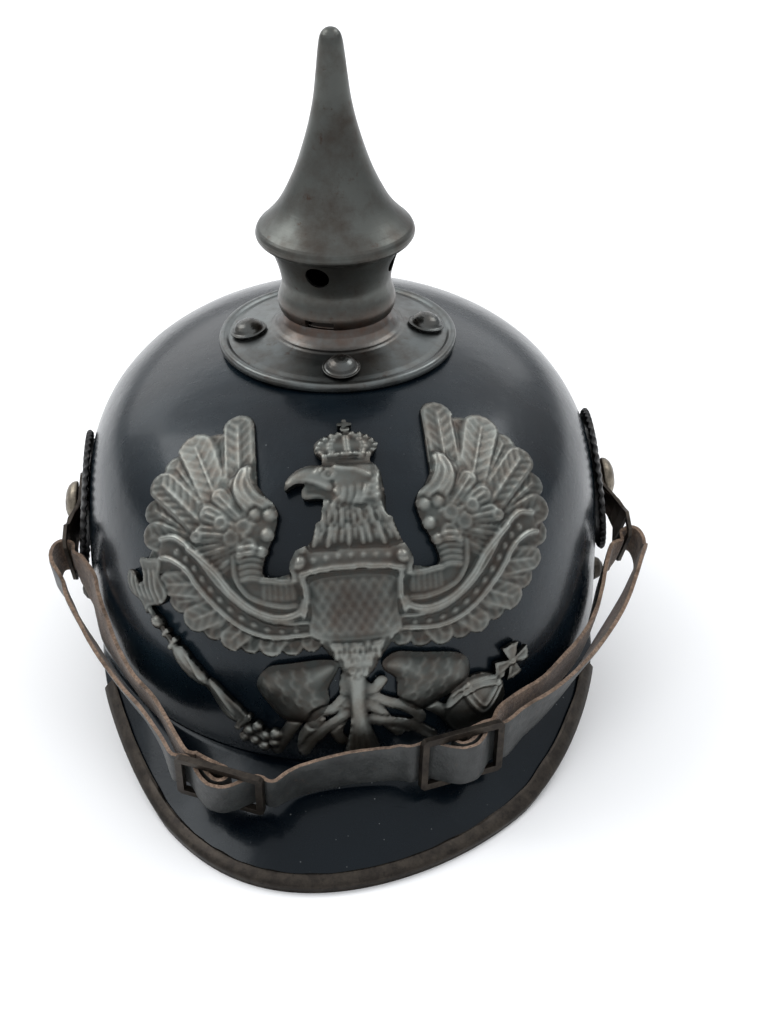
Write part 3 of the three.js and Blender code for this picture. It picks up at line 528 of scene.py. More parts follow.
def lay_on_skull(u, v, height):
    """Flat plate coordinates to the skull: u to +X, v up, height off the surface."""
    centre = np.array([0, 0, EAGLE["centre_z"]])
    east, north = u / SKULL["half_length"], v / SKULL["half_length"]
    way = np.stack([np.sin(east), -np.cos(east) * np.cos(north), np.cos(east) * np.sin(north)], -1)
    near, far = np.full(u.shape, 30.0), np.full(u.shape, 150.0)
    for _ in range(36):
        middle = (near + far) / 2
        p = way * middle[..., None] + centre
        plan = np.hypot(p[..., 0] / SKULL["half_width"], p[..., 1] / SKULL["half_length"])
        inside = plan < section_scale(p[..., 2])
        near, far = np.where(inside, middle, near), np.where(inside, far, middle)
    return way * (near + height)[..., None] + centre


# ---------------------------------------------------------------- visors
def edge_point(angle, side):
    """A spot on a visor's lower edge; side is -1 at the front and 1 at the rear."""
    a = math.radians(angle)
    warp = VISOR["warp"] * math.cos(a) ** 4 if side < 0 else 0.0
    rising = (abs(angle) - VISOR["flat_angle"]) / (VISOR["top_angle"] - VISOR["flat_angle"])
    lift = VISOR["end_lift"] * min(max(rising, 0.0), 1.0) ** 1.3
    t = min(max((abs(angle) - VISOR["tuck_angle"]) / (VISOR["end_angle"] - VISOR["tuck_angle"]), 0.0), 1.0)
    tuck = VISOR["tuck"] * t * t * (3 - 2 * t)
    x = (VISOR["half_width"] - tuck) * math.sin(a) - warp
    return np.array([x, side * VISOR["reach"] * math.cos(a), lift])


def inward_direction(angle, side):
    along = edge_point(angle + 0.5, side) - edge_point(angle - 0.5, side)
    along = along[:2] / np.linalg.norm(along[:2])
    return np.array([side * along[1], -side * along[0], 0.0])


def inward_to_skull(angle, side, offset):
    """The way from the edge to an ellipse as large as the brim grown by offset."""
    edge, inward = edge_point(angle, side), inward_direction(angle, side)
    r = np.array([SKULL["half_width"] + offset, SKULL["half_length"] + offset])
    square = float(((inward[:2] / r) ** 2).sum())
    middle = float((edge[:2] * inward[:2] / r ** 2).sum())
    rest = float(((edge[:2] / r) ** 2).sum()) - 1
    return (-middle - math.sqrt(middle ** 2 - square * rest)) / square


class VisorSection:
    """The visor cut square to its edge: at(inward, height) is off its upper face along its normal."""

    def __init__(self, angle, side, inset, sheet):
        self.edge = edge_point(angle, side)
        self.inward = inward_direction(angle, side)
        self.inset = inset
        self.brim_z = SKULL["brim_z"] - GAP
        self.to_brim = max(inward_to_skull(angle, side, GAP), inset + 0.8)
        self.to_flange = max(inward_to_skull(angle, side, -VISOR["flange"]), self.to_brim + 1)
        lift = TRIM["metal"] + GAP if side < 0 else 0.5
        self.edge_z = min(self.edge[2] + lift + sheet * 0.85, self.brim_z - 0.4)

    def top(self, e):
        part = min((e - self.inset) / (self.to_brim - self.inset), 1.0)
        bulge = VISOR["bulge"] * self.to_brim / (VISOR["reach"] - SKULL["half_length"])
        return self.edge_z + (self.brim_z - self.edge_z) * part + bulge * math.sin(math.pi * max(part, 0.0))

    def place(self, e, z):
        p = self.edge + self.inward * e
        return np.array([p[0], p[1], z])

    def at(self, e, height):
        slope = min((self.top(e + 0.1) - self.top(e - 0.1)) / 0.2, 1.0) if e < self.to_brim else 0.0
        length = math.hypot(slope, 1.0)
        return self.place(e - slope / length * height, self.top(e) + height / length)


def build_visor(name, side, inset, sheet, material, replaces):
    sections = []
    for angle in np.linspace(-VISOR["end_angle"], VISOR["end_angle"], 165):
        cut = VisorSection(angle, side, inset, sheet)
        rows = np.r_[np.linspace(inset, cut.to_brim * 0.985, 18), cut.to_flange]
        top = [cut.at(e, 0.0) for e in rows]
        bottom = [cut.at(e, -sheet) for e in rows[::-1]]
        nose = [cut.at(inset - out, -sheet * part) for out, part in ((0.35, 0.75), (0.5, 0.5), (0.35, 0.25))]
        if side > 0:
            bottom[-1][2] = max(bottom[-1][2], cut.edge[2])
        sections.append(top + bottom + nose)
    corners, faces = tube(sections)
    add_piece(name, corners, faces, "helmet", [material], sharp=50.0, replaces=replaces)


def build_trim(material):
    sections = []
    inset = outer = TRIM["metal"] + GAP
    sheet = VISOR["sheet"]
    for angle in np.linspace(-TRIM["end_angle"], TRIM["end_angle"], 180):
        cut = VisorSection(angle, -1, inset, sheet)
        top_leg = float(np.clip(cut.to_brim - 1.4, inset + 0.4, TRIM["top_leg"]))
        bottom_leg = float(np.clip(cut.to_brim - 1.2, inset + 0.9, TRIM["bottom_leg"]))
        wave = 0.18 * noise.noise(Vector((angle * 0.22, 3.0, 7.0)))
        top_leg += wave * 2
        nose = cut.at(0.0, -0.9)
        foot = float(np.linalg.norm(cut.edge - np.array([nose[0], nose[1], cut.edge[2]]))) + 0.3
        sections.append([
            cut.at(top_leg, outer - 0.35), cut.at(top_leg - 0.5, outer),
            cut.at(inset + 2.6, outer + wave * 0.6), cut.at(inset + 0.8, outer - 0.05),
            cut.at(0.45, 0.65), cut.at(0.02, -0.1), nose,
            cut.place(foot, cut.edge[2]), cut.place(foot + TRIM["foot"], cut.edge[2]),
            cut.at(bottom_leg, -sheet - outer), cut.at(bottom_leg, -sheet - GAP),
            cut.at(TRIM["metal"] + 0.3, -sheet - GAP), cut.at(TRIM["metal"], -sheet * 0.5),
            cut.at(TRIM["metal"] + 0.3, GAP), cut.at(top_leg, GAP),
        ])
    corners, faces = tube(sections)
    add_piece("visor_trim", corners, faces, "helmet", [material], sharp=60.0, replaces=("front_visor_trim",))


# ---------------------------------------------------------------- spike and its base
def turned_way(degrees):
    """The level direction at an angle round the axis; 0 is the front."""
    return np.array([math.sin(math.radians(degrees)), -math.cos(math.radians(degrees)), 0.0])


def build_spike_base(material):
    def under(r):
        return (r, float(height_at_scale(r / SKULL["half_length"])) + 0.4)

    def dimpled(angle, r, z):
        """A shallow dish round each stud."""
        z = z.copy()
        for turn in STUDS.values():
            away = math.radians(turn) - angle
            out = (r * math.cos(away) - PLATE["stud_circle"]) * DISH["squash"]
            d = np.hypot(r * math.sin(away), out)
            z -= np.where(z > DISH["above_z"], DISH["depth"] * np.exp(-(d / DISH["radius"]) ** 2), 0.0)
        return r, z

    bore, outer, low = COLLAR["bore"], COLLAR["outer"], COLLAR["shoulder_z"]
    outline = [
        under(bore), (bore, COLLAR["top_z"]), (outer, COLLAR["top_z"]), (outer, low), (17.4, low),
        (17.7, 130.0), (18.4, 128.2), (20.2, 126.2), (21.3, 125.4), (22.0, 125.3), (22.9, 124.8),
        (25.5, 124.2), (28.5, 123.7), (31.5, 123.1), (34.5, 122.55), (36.2, 121.9), (36.8, 121.75),
        (37.4, 122.15), (38.0, 122.5), (38.9, 122.5), (39.6, 122.2), (PLATE["radius"], 121.5),
        under(PLATE["radius"]), under(30.0), under(22.0),
    ]
    turned("spike_plate", outline, "helmet", material, 144, 0.35, dimpled, ("spike_base",), sharp=50.0)


def notch_form(turn):
    """The slot in the spike's foot that a bayonet tab turns in."""
    inner, outer, low, high = (NOTCH[key] for key in ("inner", "outer", "low_z", "top_z"))
    profile = ((inner, low), (outer, low), (outer, high), (inner, high))
    sections = []
    for angle in np.linspace(NOTCH["start"] + turn, NOTCH["end"] + turn, 12):
        way = turned_way(angle)
        sections.append([way * r + np.array([0, 0, z]) for r, z in profile])
    return tube(sections)


def cut_away(piece, corners, faces):
    """Cuts a closed shape out of a piece for good."""
    mesh = bpy.data.meshes.new("cutter")
    mesh.from_pydata((np.asarray(corners) * MM).tolist(), [], faces)
    cutter = bpy.data.objects.new("cutter", mesh)
    bpy.context.scene.collection.objects.link(cutter)
    step = piece.modifiers.new("cut", "BOOLEAN")
    step.operation = "DIFFERENCE"
    step.solver = "EXACT"
    step.object = cutter
    bpy.context.view_layer.update()
    graph = bpy.context.evaluated_depsgraph_get()
    result = bpy.data.meshes.new_from_object(piece.evaluated_get(graph))
    piece.modifiers.clear()
    piece.data = result
    bpy.data.objects.remove(cutter)
    bpy.data.meshes.remove(mesh)


def vent_drill(turn):
    """A level rod from inside the spike to well outside it."""
    way = turned_way(turn)
    side = np.array([-way[1], way[0], 0.0])
    radius = VENT["radius"]
    ring = [side * radius * math.cos(a) + np.array([0, 0, VENT["z"] + radius * math.sin(a)])
            for a in np.linspace(0, 2 * math.pi, 32, endpoint=False)]
    return tube([[way * reach + spot for spot in ring] for reach in (13.0, 30.0)])


def build_spike(material):
    bottom = COLLAR["shoulder_z"] + GAP
    inner = COLLAR["outer"] + GAP
    cone = [
        (0.0, 228.1), (1.3, 228.0), (2.4, 227.3), (3.3, 226.0), (3.9, 223.8), (4.4, 220.0), (5.2, 212.7),
        (6.2, 204.8), (7.9, 196.7), (10.2, 188.6), (13.1, 180.3), (17.1, 171.9), (20.2, 167.2), (23.7, 163.4),
        (25.4, 161.8), (26.2, 160.4), (26.4, 159.3), (26.2, 158.4), (25.5, 157.5), (24.6, 156.8),
        (24.1, 156.6),
    ]
    neck = [
        (23.5, 156.9), (22.2, 155.2), (21.0, 152.8), (19.7, 149.4), (18.7, 145.6), (18.25, 142.4),
        (18.6, 139.8), (19.4, 137.3), (19.75, 135.2), (19.4, 133.2), (18.6, bottom),
    ]
    hollow = [
        (inner, bottom), (inner, 142.2), (17.9, 147.6), (19.8, 153.2), (22.5, 158.2), (23.8, 160.2),
        (15.8, 171.5), (9.0, 186.0), (4.4, 204.8), (0.0, 218.0),
    ]
    outline = [*map(tuple, smooth_path(cone, 84)), *map(tuple, smooth_path(neck, 40)), *hollow]
    piece = turned("spike_cone", outline, "spike", material, 128, 0.08, None, ("spike",), sharp=35.0)
    for quarter in range(4):
        cut_away(piece, *vent_drill(VENT["first_angle"] + 90 * quarter))
    for turn in (0, 180):
        cut_away(piece, *notch_form(turn))
    piece.data.set_sharp_from_angle(angle=math.radians(40))


def build_studs(material):
    slope = math.atan2(124.2 - 122.6, 34.5 - 25.5)  # the plate's fall across a stud
    dome = [
        (0, 3.8), (1.3, 3.68), (2.6, 3.3), (3.7, 2.65), (4.6, 1.7), (5.1, 0.75), (5.5, 0.45), (6.2, 0.35),
        (6.25, 0.0), (0, 0.0),
    ]
    for word, degrees in STUDS.items():
        piece = turned(f"stud_{word}", dome, "helmet", material, 48, 0.25, None, (f"base_stud_{word}",))
        turn = Matrix.Rotation(math.radians(degrees), 4, "Z") @ Matrix.Rotation(slope, 4, "X")
        place = Vector((*(turned_way(degrees) * PLATE["stud_circle"])[:2], PLATE["stud_z"])) * MM
        piece.data.transform(Matrix.Translation(place) @ turn)


# ---------------------------------------------------------------- side fittings
def post_matrix(side):
    """The place of a side post: its z axis points out of the skull and its y axis up."""
    lean = math.radians(POST["lean"])
    outward_way = Vector((side * math.cos(lean), 0, math.sin(lean)))
    up = Vector((-side * math.sin(lean), 0, math.cos(lean)))
    across = up.cross(outward_way)
    z = POST["left_z"] if side < 0 else POST["right_z"]
    seat = Vector((side * SKULL["half_width"] * float(section_scale(z)), POST["y"], z)) * MM
    turn = Matrix((across, up, outward_way)).transposed().to_4x4()
    return Matrix.Translation(seat) @ turn


def build_cockade(name, side, enamel, steel):
    outline = [
        (3.4, 0.5), (18.0, 0.5), (24.5, -0.3), (25.0, 0.1), (24.8, 0.9), (24.0, 1.4), (21.5, 1.9),
        (18.9, 2.0), (18.5, 1.6), (17.9, 1.6), (17.4, 1.95), (15.2, 2.15), (13.0, 1.95), (12.5, 1.6),
        (11.9, 1.6), (11.4, 1.95), (8.0, 2.05), (3.4, 2.0),
    ]

    def fluted(angle, r, z):
        flute = math.cos(COCKADE["flutes"] * angle)
        weight = np.clip((r - COCKADE["flutes_from"]) / 5.0, 0, 1)
        return r + 0.3 * flute * weight, z + 0.35 * flute * weight

    piece = turned(name, outline, "helmet", enamel, 264, 0.3, fluted, (name.replace("disc_", "cockade_"),))
    piece.data.materials.append(steel)
    for face in piece.data.polygons:
        reach = math.hypot(face.center.x, face.center.y) / MM
        face.material_index = 1 if 12.3 < reach < 18.2 and face.center.z > 1.4 * MM else 0
    piece.data.transform(post_matrix(side))


def build_knob(name, side, material):
    base, shank = LUG_SEAT + LUG["sheet"] + GAP, POST["shank"]
    outline = [
        (0, GAP), (shank, GAP), (shank, base), (6.4, base), (6.9, base + 0.4), (6.9, base + 1.3),
        (6.4, base + 2.3), (5.3, base + 3.3), (3.2, base + 4.1), (0, base + 4.4),
    ]
    piece = turned(name, outline, "helmet", material, 64, 0.3, None, (name.replace("knob_", "side_post_"),))
    piece.data.transform(post_matrix(side))


# ---------------------------------------------------------------- eagle plate
class Relief:
    """A stamped plate as a height field, with shapes laid on a flat sheet in painter's order.

    Places are millimetres on the flat plate, x to the viewer's right and y up from the tail.
    Distances are negative inside a shape.
    """

    step = 0.46  # between grid corners
    far = 9.0  # distances are measured up to this
    left, right, low, high = -84.0, 70.0, -4.0, 121.0

    def __init__(self):
        columns, rows = np.arange(self.left, self.right, self.step), np.arange(self.low, self.high, self.step)
        self.u, self.v = np.meshgrid(columns, rows)
        self.outline = np.full(self.u.shape, self.far)
        self.height = np.zeros(self.u.shape)
        self.tint = np.zeros(self.u.shape)
        # painted light and shade: below 37 mm the plate is painted lighter, and draw_legs paints the thighs
        # darker
        self.light = np.where(self.v < 37, 0.16, 0.0)
        self.turn(0.0)

    def turn(self, degrees, side=1):
        """Later shapes are turned about the pivot, and mirrored when side is -1."""
        a, pivot = math.radians(degrees), EAGLE["pivot_y"]
        self.x = side * (self.u * math.cos(a) + (self.v - pivot) * math.sin(a))
        self.y = pivot - self.u * math.sin(a) + (self.v - pivot) * math.cos(a)

    def window(self, points):
        low, high = np.min(points, 0) - self.far, np.max(points, 0) + self.far
        return (self.x > low[0]) & (self.x < high[0]) & (self.y > low[1]) & (self.y < high[1])

    def line(self, points, smooth=True, closed=False):
        """Distance to a line, and the length run along it at the nearest point."""
        if smooth:
            points = smooth_path(points, 5 * len(points), closed)
        points = np.asarray(points, float)
        if closed:
            points = np.vstack([points, points[:1]])
        spot = self.window(points)
        x, y = self.x[spot], self.y[spot]
        best, run, total = np.full(x.shape, self.far), np.zeros(x.shape), 0.0
        for (ax, ay), (bx, by) in zip(points[:-1], points[1:]):
            length = math.hypot(bx - ax, by - ay)
            t = np.clip(((x - ax) * (bx - ax) + (y - ay) * (by - ay)) / length ** 2, 0, 1)
            d = np.hypot(x - ax - t * (bx - ax), y - ay - t * (by - ay))
            run = np.where(d < best, total + t * length, run)
            best = np.minimum(best, d)
            total += length
        distance, along = np.full(self.u.shape, self.far), np.zeros(self.u.shape)
        distance[spot], along[spot] = best, run
        return distance, along

    def area(self, points, smooth=True):
        """Signed distance to a closed outline."""
        points = smooth_path(points, 5 * len(points), True) if smooth else np.asarray(points, float)
        distance = self.line(points, False, True)[0]
        inside = np.zeros(self.u.shape, bool)
        for (ax, ay), (bx, by) in zip(points, np.roll(points, -1, 0)):
            crosses = (ay > self.y) != (by > self.y)
            inside ^= crosses & (self.x < ax + (self.y - ay) * (bx - ax) / (by - ay if by != ay else 1.0))
        return np.where(inside, -distance, distance)

    def disc(self, x, y, radius):
        return np.hypot(self.x - x, self.y - y) - radius

    def lay(self, distance, height, rim=0.0, dome=0.0, width=2.0):
        """Lays a shape on top, its edge rounded, with a raised rim or a domed middle."""
        depth = np.clip(-distance, 0, None)
        shaped = height - 0.45 * np.exp(-depth / 0.3) + rim * np.exp(-((depth - 0.7) / 0.5) ** 2)
        shaped = shaped + dome * (1 - np.exp(-depth / width))
        self.height = np.where(distance < 0, shaped, self.height)
        self.outline = np.minimum(self.outline, distance)

    def shape(self, points, height, rim=0.0, dome=0.0, width=2.0, smooth=True):
        """Lays a closed outline, and returns the distance to it."""
        distance = self.area(points, smooth)
        self.lay(distance, height, rim, dome, width)
        return distance

    def strand(self, points, half, height, rim=0.0, dome=0.0, width=2.0, smooth=True):
        """Lays a band that reaches half to either side of a line, and returns the distance to the line."""
        distance = self.line(points, smooth)[0]
        self.lay(distance - half, height, rim, dome, width)
        return distance

    def brown(self, amount, where):
        self.tint = np.maximum(self.tint, np.where(where, amount, 0.0))

    def ridge(self, points, amount, width=0.5, smooth=True, within=None):
        distance = self.line(points, smooth)[0]
        rise = amount * np.exp(-(distance / width) ** 2)
        self.height += rise if within is None else np.where(within < 0, rise, 0.0)

    def bead(self, x, y, radius, height):
        self.lay(self.disc(x, y, radius), height, dome=radius * 0.7, width=radius * 0.5)

    def feather(self, tip_x, tip_y, tip_r, root_x, root_y, root_r, height, barb=4.0):
        """A rounded feather with a raised rim, a quill and slanting barbs."""
        dx, dy = root_x - tip_x, root_y - tip_y
        length = math.hypot(dx, dy)
        along = ((self.x - tip_x) * dx + (self.y - tip_y) * dy) / length
        across = ((self.x - tip_x) * dy - (self.y - tip_y) * dx) / length
        t = np.clip(along / length, 0, 1)
        distance = np.hypot(across, along - np.clip(along, 0, length)) - (tip_r + (root_r - tip_r) * t)
        self.lay(distance, height + 0.35 * t, rim=0.3)
        depth = np.clip(-distance / 1.4, 0, 1)
        quill = 0.55 * np.exp(-(across / 0.4) ** 2) * np.clip((along + 0.5 * tip_r) / tip_r, 0, 1)
        wave = np.cos((along + 1.2 * np.abs(across)) * 2 * math.pi / barb)
        self.height += np.where(distance < 0, quill + 0.13 * np.clip(wave, -0.3, 1) * depth, 0.0)

    def softened(self, rounds):
        """The height blurred, without letting the bare sheet in."""
        weight = (self.outline < 0).astype(float)
        value = self.height * weight
        for _ in range(rounds):
            for axis in (0, 1):
                value = 0.25 * np.roll(value, 1, axis) + 0.5 * value + 0.25 * np.roll(value, -1, axis)
                weight = 0.25 * np.roll(weight, 1, axis) + 0.5 * weight + 0.25 * np.roll(weight, -1, axis)
        return value / np.maximum(weight, 1e-6)


# tip x, tip y, tip radius, root x, root y, root radius
BACK_FEATHERS = [
    (38.6, 107.2, 4.4, 34, 84, 5), (51.6, 101.6, 5.0, 38, 78, 5), (60.4, 87.6, 4.6, 42, 72, 6),
    (61.2, 70.0, 4.6, 40, 64, 6), (55.0, 54.6, 4.4, 36, 56, 5), (44.2, 45.0, 4.0, 28, 52, 4.5),
    (32.0, 41.0, 4.0, 22, 50, 4.5), (19.2, 40.6, 4.0, 14, 48, 4.5),
]
FRONT_FEATHERS = [
    (61.3, 78.8, 5.2, 42, 68, 5), (56.8, 96.3, 5.2, 39, 74, 4.5), (45.2, 107.4, 6.0, 35, 78, 4.5),
    (31.4, 112.6, 5.0, 30, 80, 5), (58.2, 61.0, 4.5, 38, 60, 5.5), (50.0, 48.4, 4.8, 32, 55, 4.5),
    (38.0, 41.8, 4.0, 26, 51, 4), (25.6, 40.0, 3.8, 18, 49, 4), (13.2, 41.0, 3.2, 9, 48, 4),
]


def mirrored(half):
    """A closed outline with equal sides, from its right half."""
    return [(-half[0][0], half[0][1]), *half, *((-x, y) for x, y in half[:0:-1])]


def draw_wing(plate):
    for row in BACK_FEATHERS:
        plate.feather(*row, 1.5)
    for row in FRONT_FEATHERS:
        plate.feather(*row, 1.9)
    arm = plate.shape([
        (12, 61), (24, 60.6), (24, 66), (20.8, 73), (19.8, 79), (23, 84.6), (27, 90), (34, 88), (39, 81),
        (42, 75), (38, 64), (30, 52), (18, 49), (12, 51),
    ], 2.3, dome=0.4)
    draw_coverts(plate)
    plate.shape([
        (27.2, 95.6), (30, 95.2), (32.6, 91), (32.4, 86), (29.5, 81), (24, 77.5), (20, 78.5), (20.6, 82),
        (24.5, 86), (26.8, 90.5),
    ], 3.0, rim=0.5, dome=0.4)
    for shift in (0.0, 1.9):
        plate.ridge([(28.2 + shift, 94.5), (29.3 + shift, 89), (27 + shift, 84), (23.5 + shift, 80.6)], 0.4)
    for x, y, r in ((33.5, 73, 2.8), (29.5, 75.8, 2.8), (28.5, 70, 2.8), (36.5, 78, 2.6)):
        plate.lay(plate.disc(x, y, r), 2.9, rim=0.35)
    plate.lay(np.abs(plate.disc(45, 75.3, 1.4)) - 0.6, 3.2)
    for x, y, r in ((26, 79.3, 2.4), (21.8, 78.6, 2.4), (22.8, 72.8, 2.2), (24.4, 68.2, 1.7)):
        plate.lay(plate.disc(x, y, r), 2.7, dome=0.8, width=1.4)
    for i in range(6):
        y = 60.6 + 1.75 * i
        plate.ridge([(24.6 - 0.1 * i, y - 0.5), (28, y + 0.5), (31.5, y + 0.1)], 0.75, within=arm)
    draw_ribbon(plate)


def draw_coverts(plate):
    """Small feathers that spread from the wrist of the wing."""
    wrist_x, wrist_y, reach, count = 25, 72, 18.5, 6
    for i in range(count):
        a = math.radians(-38 + 118 * (i + 0.5) / count)
        east, north = reach * math.cos(a), 1.05 * reach * math.sin(a)
        root = (wrist_x + 0.3 * east, wrist_y + 0.3 * north, 1.8)
        plate.feather(wrist_x + east, wrist_y + north, 3.0, *root, 2.53, 6.0)


def draw_ribbon(plate):
    """The ribbon across the wing, with plain lozenges, and the crescent and bars inside it."""
    inner = [(58.5, 77), (53, 76.5), (48, 72), (43, 65), (38, 58), (32, 52), (25, 48), (18, 47), (11, 47.4)]
    outer = [
        (60.5, 70.5), (56, 69.5), (50, 65), (47, 60), (42, 53.5), (36, 47.5), (30, 44), (24, 42.6), (17, 43),
        (11, 43.6),
    ]
    field = plate.shape(inner + outer[::-1], 2.1)
    middle = [((ax + bx) / 2, (ay + by) / 2) for (ax, ay), (bx, by) in zip(inner[1:], outer[1:])]
    off, run = plate.line(middle)
    lozenge = np.abs((run % 4.3) - 2.15) + off * 1.2
    plate.height += np.where(off < 2.0, 0.6 * np.clip(1.5 - lozenge, 0, 1), 0.0)
    plate.brown(0.12, field < -0.7)
    for points in (inner, outer):
        plate.strand(points, 0.75, 2.9, dome=0.3, width=0.5)
    crescent = [
        (48, 72), (40, 64), (35, 57), (29, 51.5), (22, 48.8), (16.5, 49.5), (13.8, 52.5), (13.3, 58),
        (14.5, 64),
    ]
    plate.strand(crescent, 1.15, 3.2, dome=0.7, width=0.7)
    hollow = [(33.5, 67.5), (33.2, 61), (30.5, 56), (26, 53.5), (20, 52), (16, 52.2)]
    for points in (hollow, [(25.5, 60.2), (20, 59.4), (15, 59.3)]):
        plate.strand(points, 0.8, 3.0, dome=0.4, width=0.5)
    for i in range(6):
        plate.ridge([(16.8 + 1.6 * i, 58.4), (16.6 + 1.7 * i, 54.6)], 0.35, 0.45, False)


def draw_crown(plate):
    middle = 0.2
    plate.shape([(-7.2, 91.8), (6.4, 91.8), (6.8, 95.2), (-7.6, 95.2)], 3.3, rim=0.5, smooth=False)
    plate.shape([
        (-7, 94.8), (0, 94.2), (6.4, 94.8), (9, 97.4), (8.8, 100.4), (6.2, 102.6), (3, 103.3), (0.2, 103.9),
        (-3, 103.3), (-6.6, 102.6), (-9.2, 100.4), (-9.4, 97.4),
    ], 2.8, dome=0.9, width=3.0)
    for bend in (-8.6, -5.0, 0.0, 5.0, 8.6):
        arch = [(middle + bend * part, y) for part, y in ((0, 103.4), (0.62, 102.2), (1, 98.6), (0.74, 95.2))]
        for x, y in smooth_path(arch, 8)[1:]:
            plate.bead(x, y, 0.66, 3.9)
    for i in range(8):
        plate.bead(-6.6 + 1.85 * i, 95.4 + 0.25 * math.sin(i * math.pi / 7), 0.8, 4.0)
    plate.bead(middle, 105.0, 1.4, 3.4)
    for points in ([(middle, 105.4), (middle, 108.4)], [(-1.4, 107.2), (1.8, 107.2)]):
        plate.strand(points, 0.7, 3.2, smooth=False)


def draw_head(plate):
    plate.shape([
        (-7, 81), (-8, 76), (-9.5, 72), (-13, 67.5), (0, 67), (13, 67.5), (9.6, 73), (9.6, 79), (9, 83),
        (0, 84),
    ], 2.6, dome=1.2, width=4.0)
    for y, count, half in ((68.6, 13, 10.8), (73.4, 11, 8.4), (77.6, 9, 7.2)):
        for i in range(count):
            x = 0.4 + half * (2 * i / (count - 1) - 1)
            tip = y + 1.0 * math.sin(2.4 * i + y)
            plate.feather(x * 1.1, tip, 0.45, x * 0.86, tip + 5.5, 1.5, 3.3 + 0.02 * (y - 68), 12.0)
    head = plate.shape([
        (-7.5, 92.5), (-2, 94), (5, 93.5), (8.6, 90), (9.4, 85), (9, 80), (4, 78.6), (-1, 79), (-6, 80.5),
        (-8, 84), (-8.5, 88),
    ], 3.5, dome=1.0, width=2.5)
    plate.shape([
        (-12.8, 86), (-13.6, 83.8), (-13, 82), (-9, 81.8), (-5, 80.8), (-3.4, 82), (-6.5, 84.6), (-10, 85.6),
    ], 3.2, rim=0.4)
    plate.shape([
        (-7.5, 91.8), (-11.5, 92.4), (-15.2, 91.0), (-17.8, 88.4), (-18.4, 85.2), (-17.0, 86.0),
        (-15.0, 86.9), (-12.5, 86.6), (-9.5, 85.2), (-6, 83.4), (-4, 84.6), (-5, 88),
    ], 3.6, dome=0.9, width=1.5)
    plate.ridge([(-16.6, 87.0), (-13, 87.6), (-9, 86.4), (-5, 83.6), (-2.6, 81)], 0.4, 0.45)
    plate.ridge([(-9, 89.9), (-7.4, 91.7), (-4.6, 91.8), (-1.8, 90.6), (2, 90), (5.4, 88)], 0.8)
    plate.lay(np.abs(plate.disc(-5.6, 88.9, 1.5)) - 0.35, 4.9)
    plate.bead(-5.6, 88.9, 0.8, 4.2)
    for i in range(5):
        cheek = [(7.6 - 0.3 * i, 91 - 2.2 * i), (8.4 - i * 0.3, 88 - 2.2 * i), (5.0 - i, 84.4 - i * 1.2)]
        throat = [(4.6 - 2.1 * i, 85 - 0.3 * i), (4.0 - 2 * i, 81.6), (2.4 - 1.7 * i, 79.6)]
        for points in (cheek, throat):
            plate.ridge(points, 0.5, 0.45, within=head)


def draw_body(plate):
    """Belly, breast and the scroll over it, which carry plain feathers, scales and bosses."""
    belly = mirrored([(12.6, 60), (12.6, 46), (10, 39.5), (6.4, 34.5), (3.4, 29.5)])
    plate.shape(belly, 2.2, dome=0.8, width=4.0)
    for k in range(4, -1, -1):
        for i in range(9 - k % 2):
            x = (i - (8 - k % 2) / 2) * (2.5 - 0.48 * k)
            plate.feather(x, 40.8 - 2.9 * k, 0.4, x, 45.4 - 2.9 * k, 1.2 - 0.1 * k, 2.9 - 0.05 * k, 12.0)
    panel = plate.shape(mirrored([(11.6, 41.6), (12.4, 50), (11.6, 59.4)]), 2.6, rim=0.3, dome=0.4, width=3.0)
    plate.brown(0.45 * np.clip(plate.disc(0, 50, 9.0) * -0.3, 0, 1), panel < -1.6)
    for k in range(7):
        for i in range(8 - k % 2):
            x, y = (i - (7 - k % 2) / 2) * 2.9, 43.6 + 2.2 * k
            plate.ridge([(x - 1.3, y + 1.3), (x, y - 0.3), (x + 1.3, y + 1.3)], 0.22, 0.4, within=panel)
    scroll = plate.shape([
        (-15.6, 60), (-15.4, 66.5), (-11, 68.4), (0, 69.4), (11, 68.4), (15.4, 66.5), (15.6, 60), (9, 61),
        (0, 61.6), (-9, 61),
    ], 3.3)
    plate.brown(0.15, scroll < -0.8)
    plate.strand([(-14.4, 67), (-10, 68.2), (0, 69), (10, 68.2), (14.4, 67)], 0.7, 4.1, dome=0.3, width=0.5)
    plate.strand([(-14, 60.6), (-8, 61.6), (0, 62), (8, 61.6), (14, 60.6)], 0.7, 4.1, dome=0.3, width=0.5)
    for side in (-1, 1):
        plate.bead(side * 14.4, 64.2, 1.9, 3.8)
        for points in ([(14.4, 67), (16.2, 63.5), (15.8, 59.5)], [(13.4, 60), (13.2, 54), (14.2, 49)]):
            plate.strand([(side * x, y) for x, y in points], 0.75, 3.6, dome=0.4, width=0.5)
    for i in range(7):
        x = -10.2 + 3.4 * i
        plate.bead(x, 65.1 - 0.006 * x * x, 0.95, 3.5)


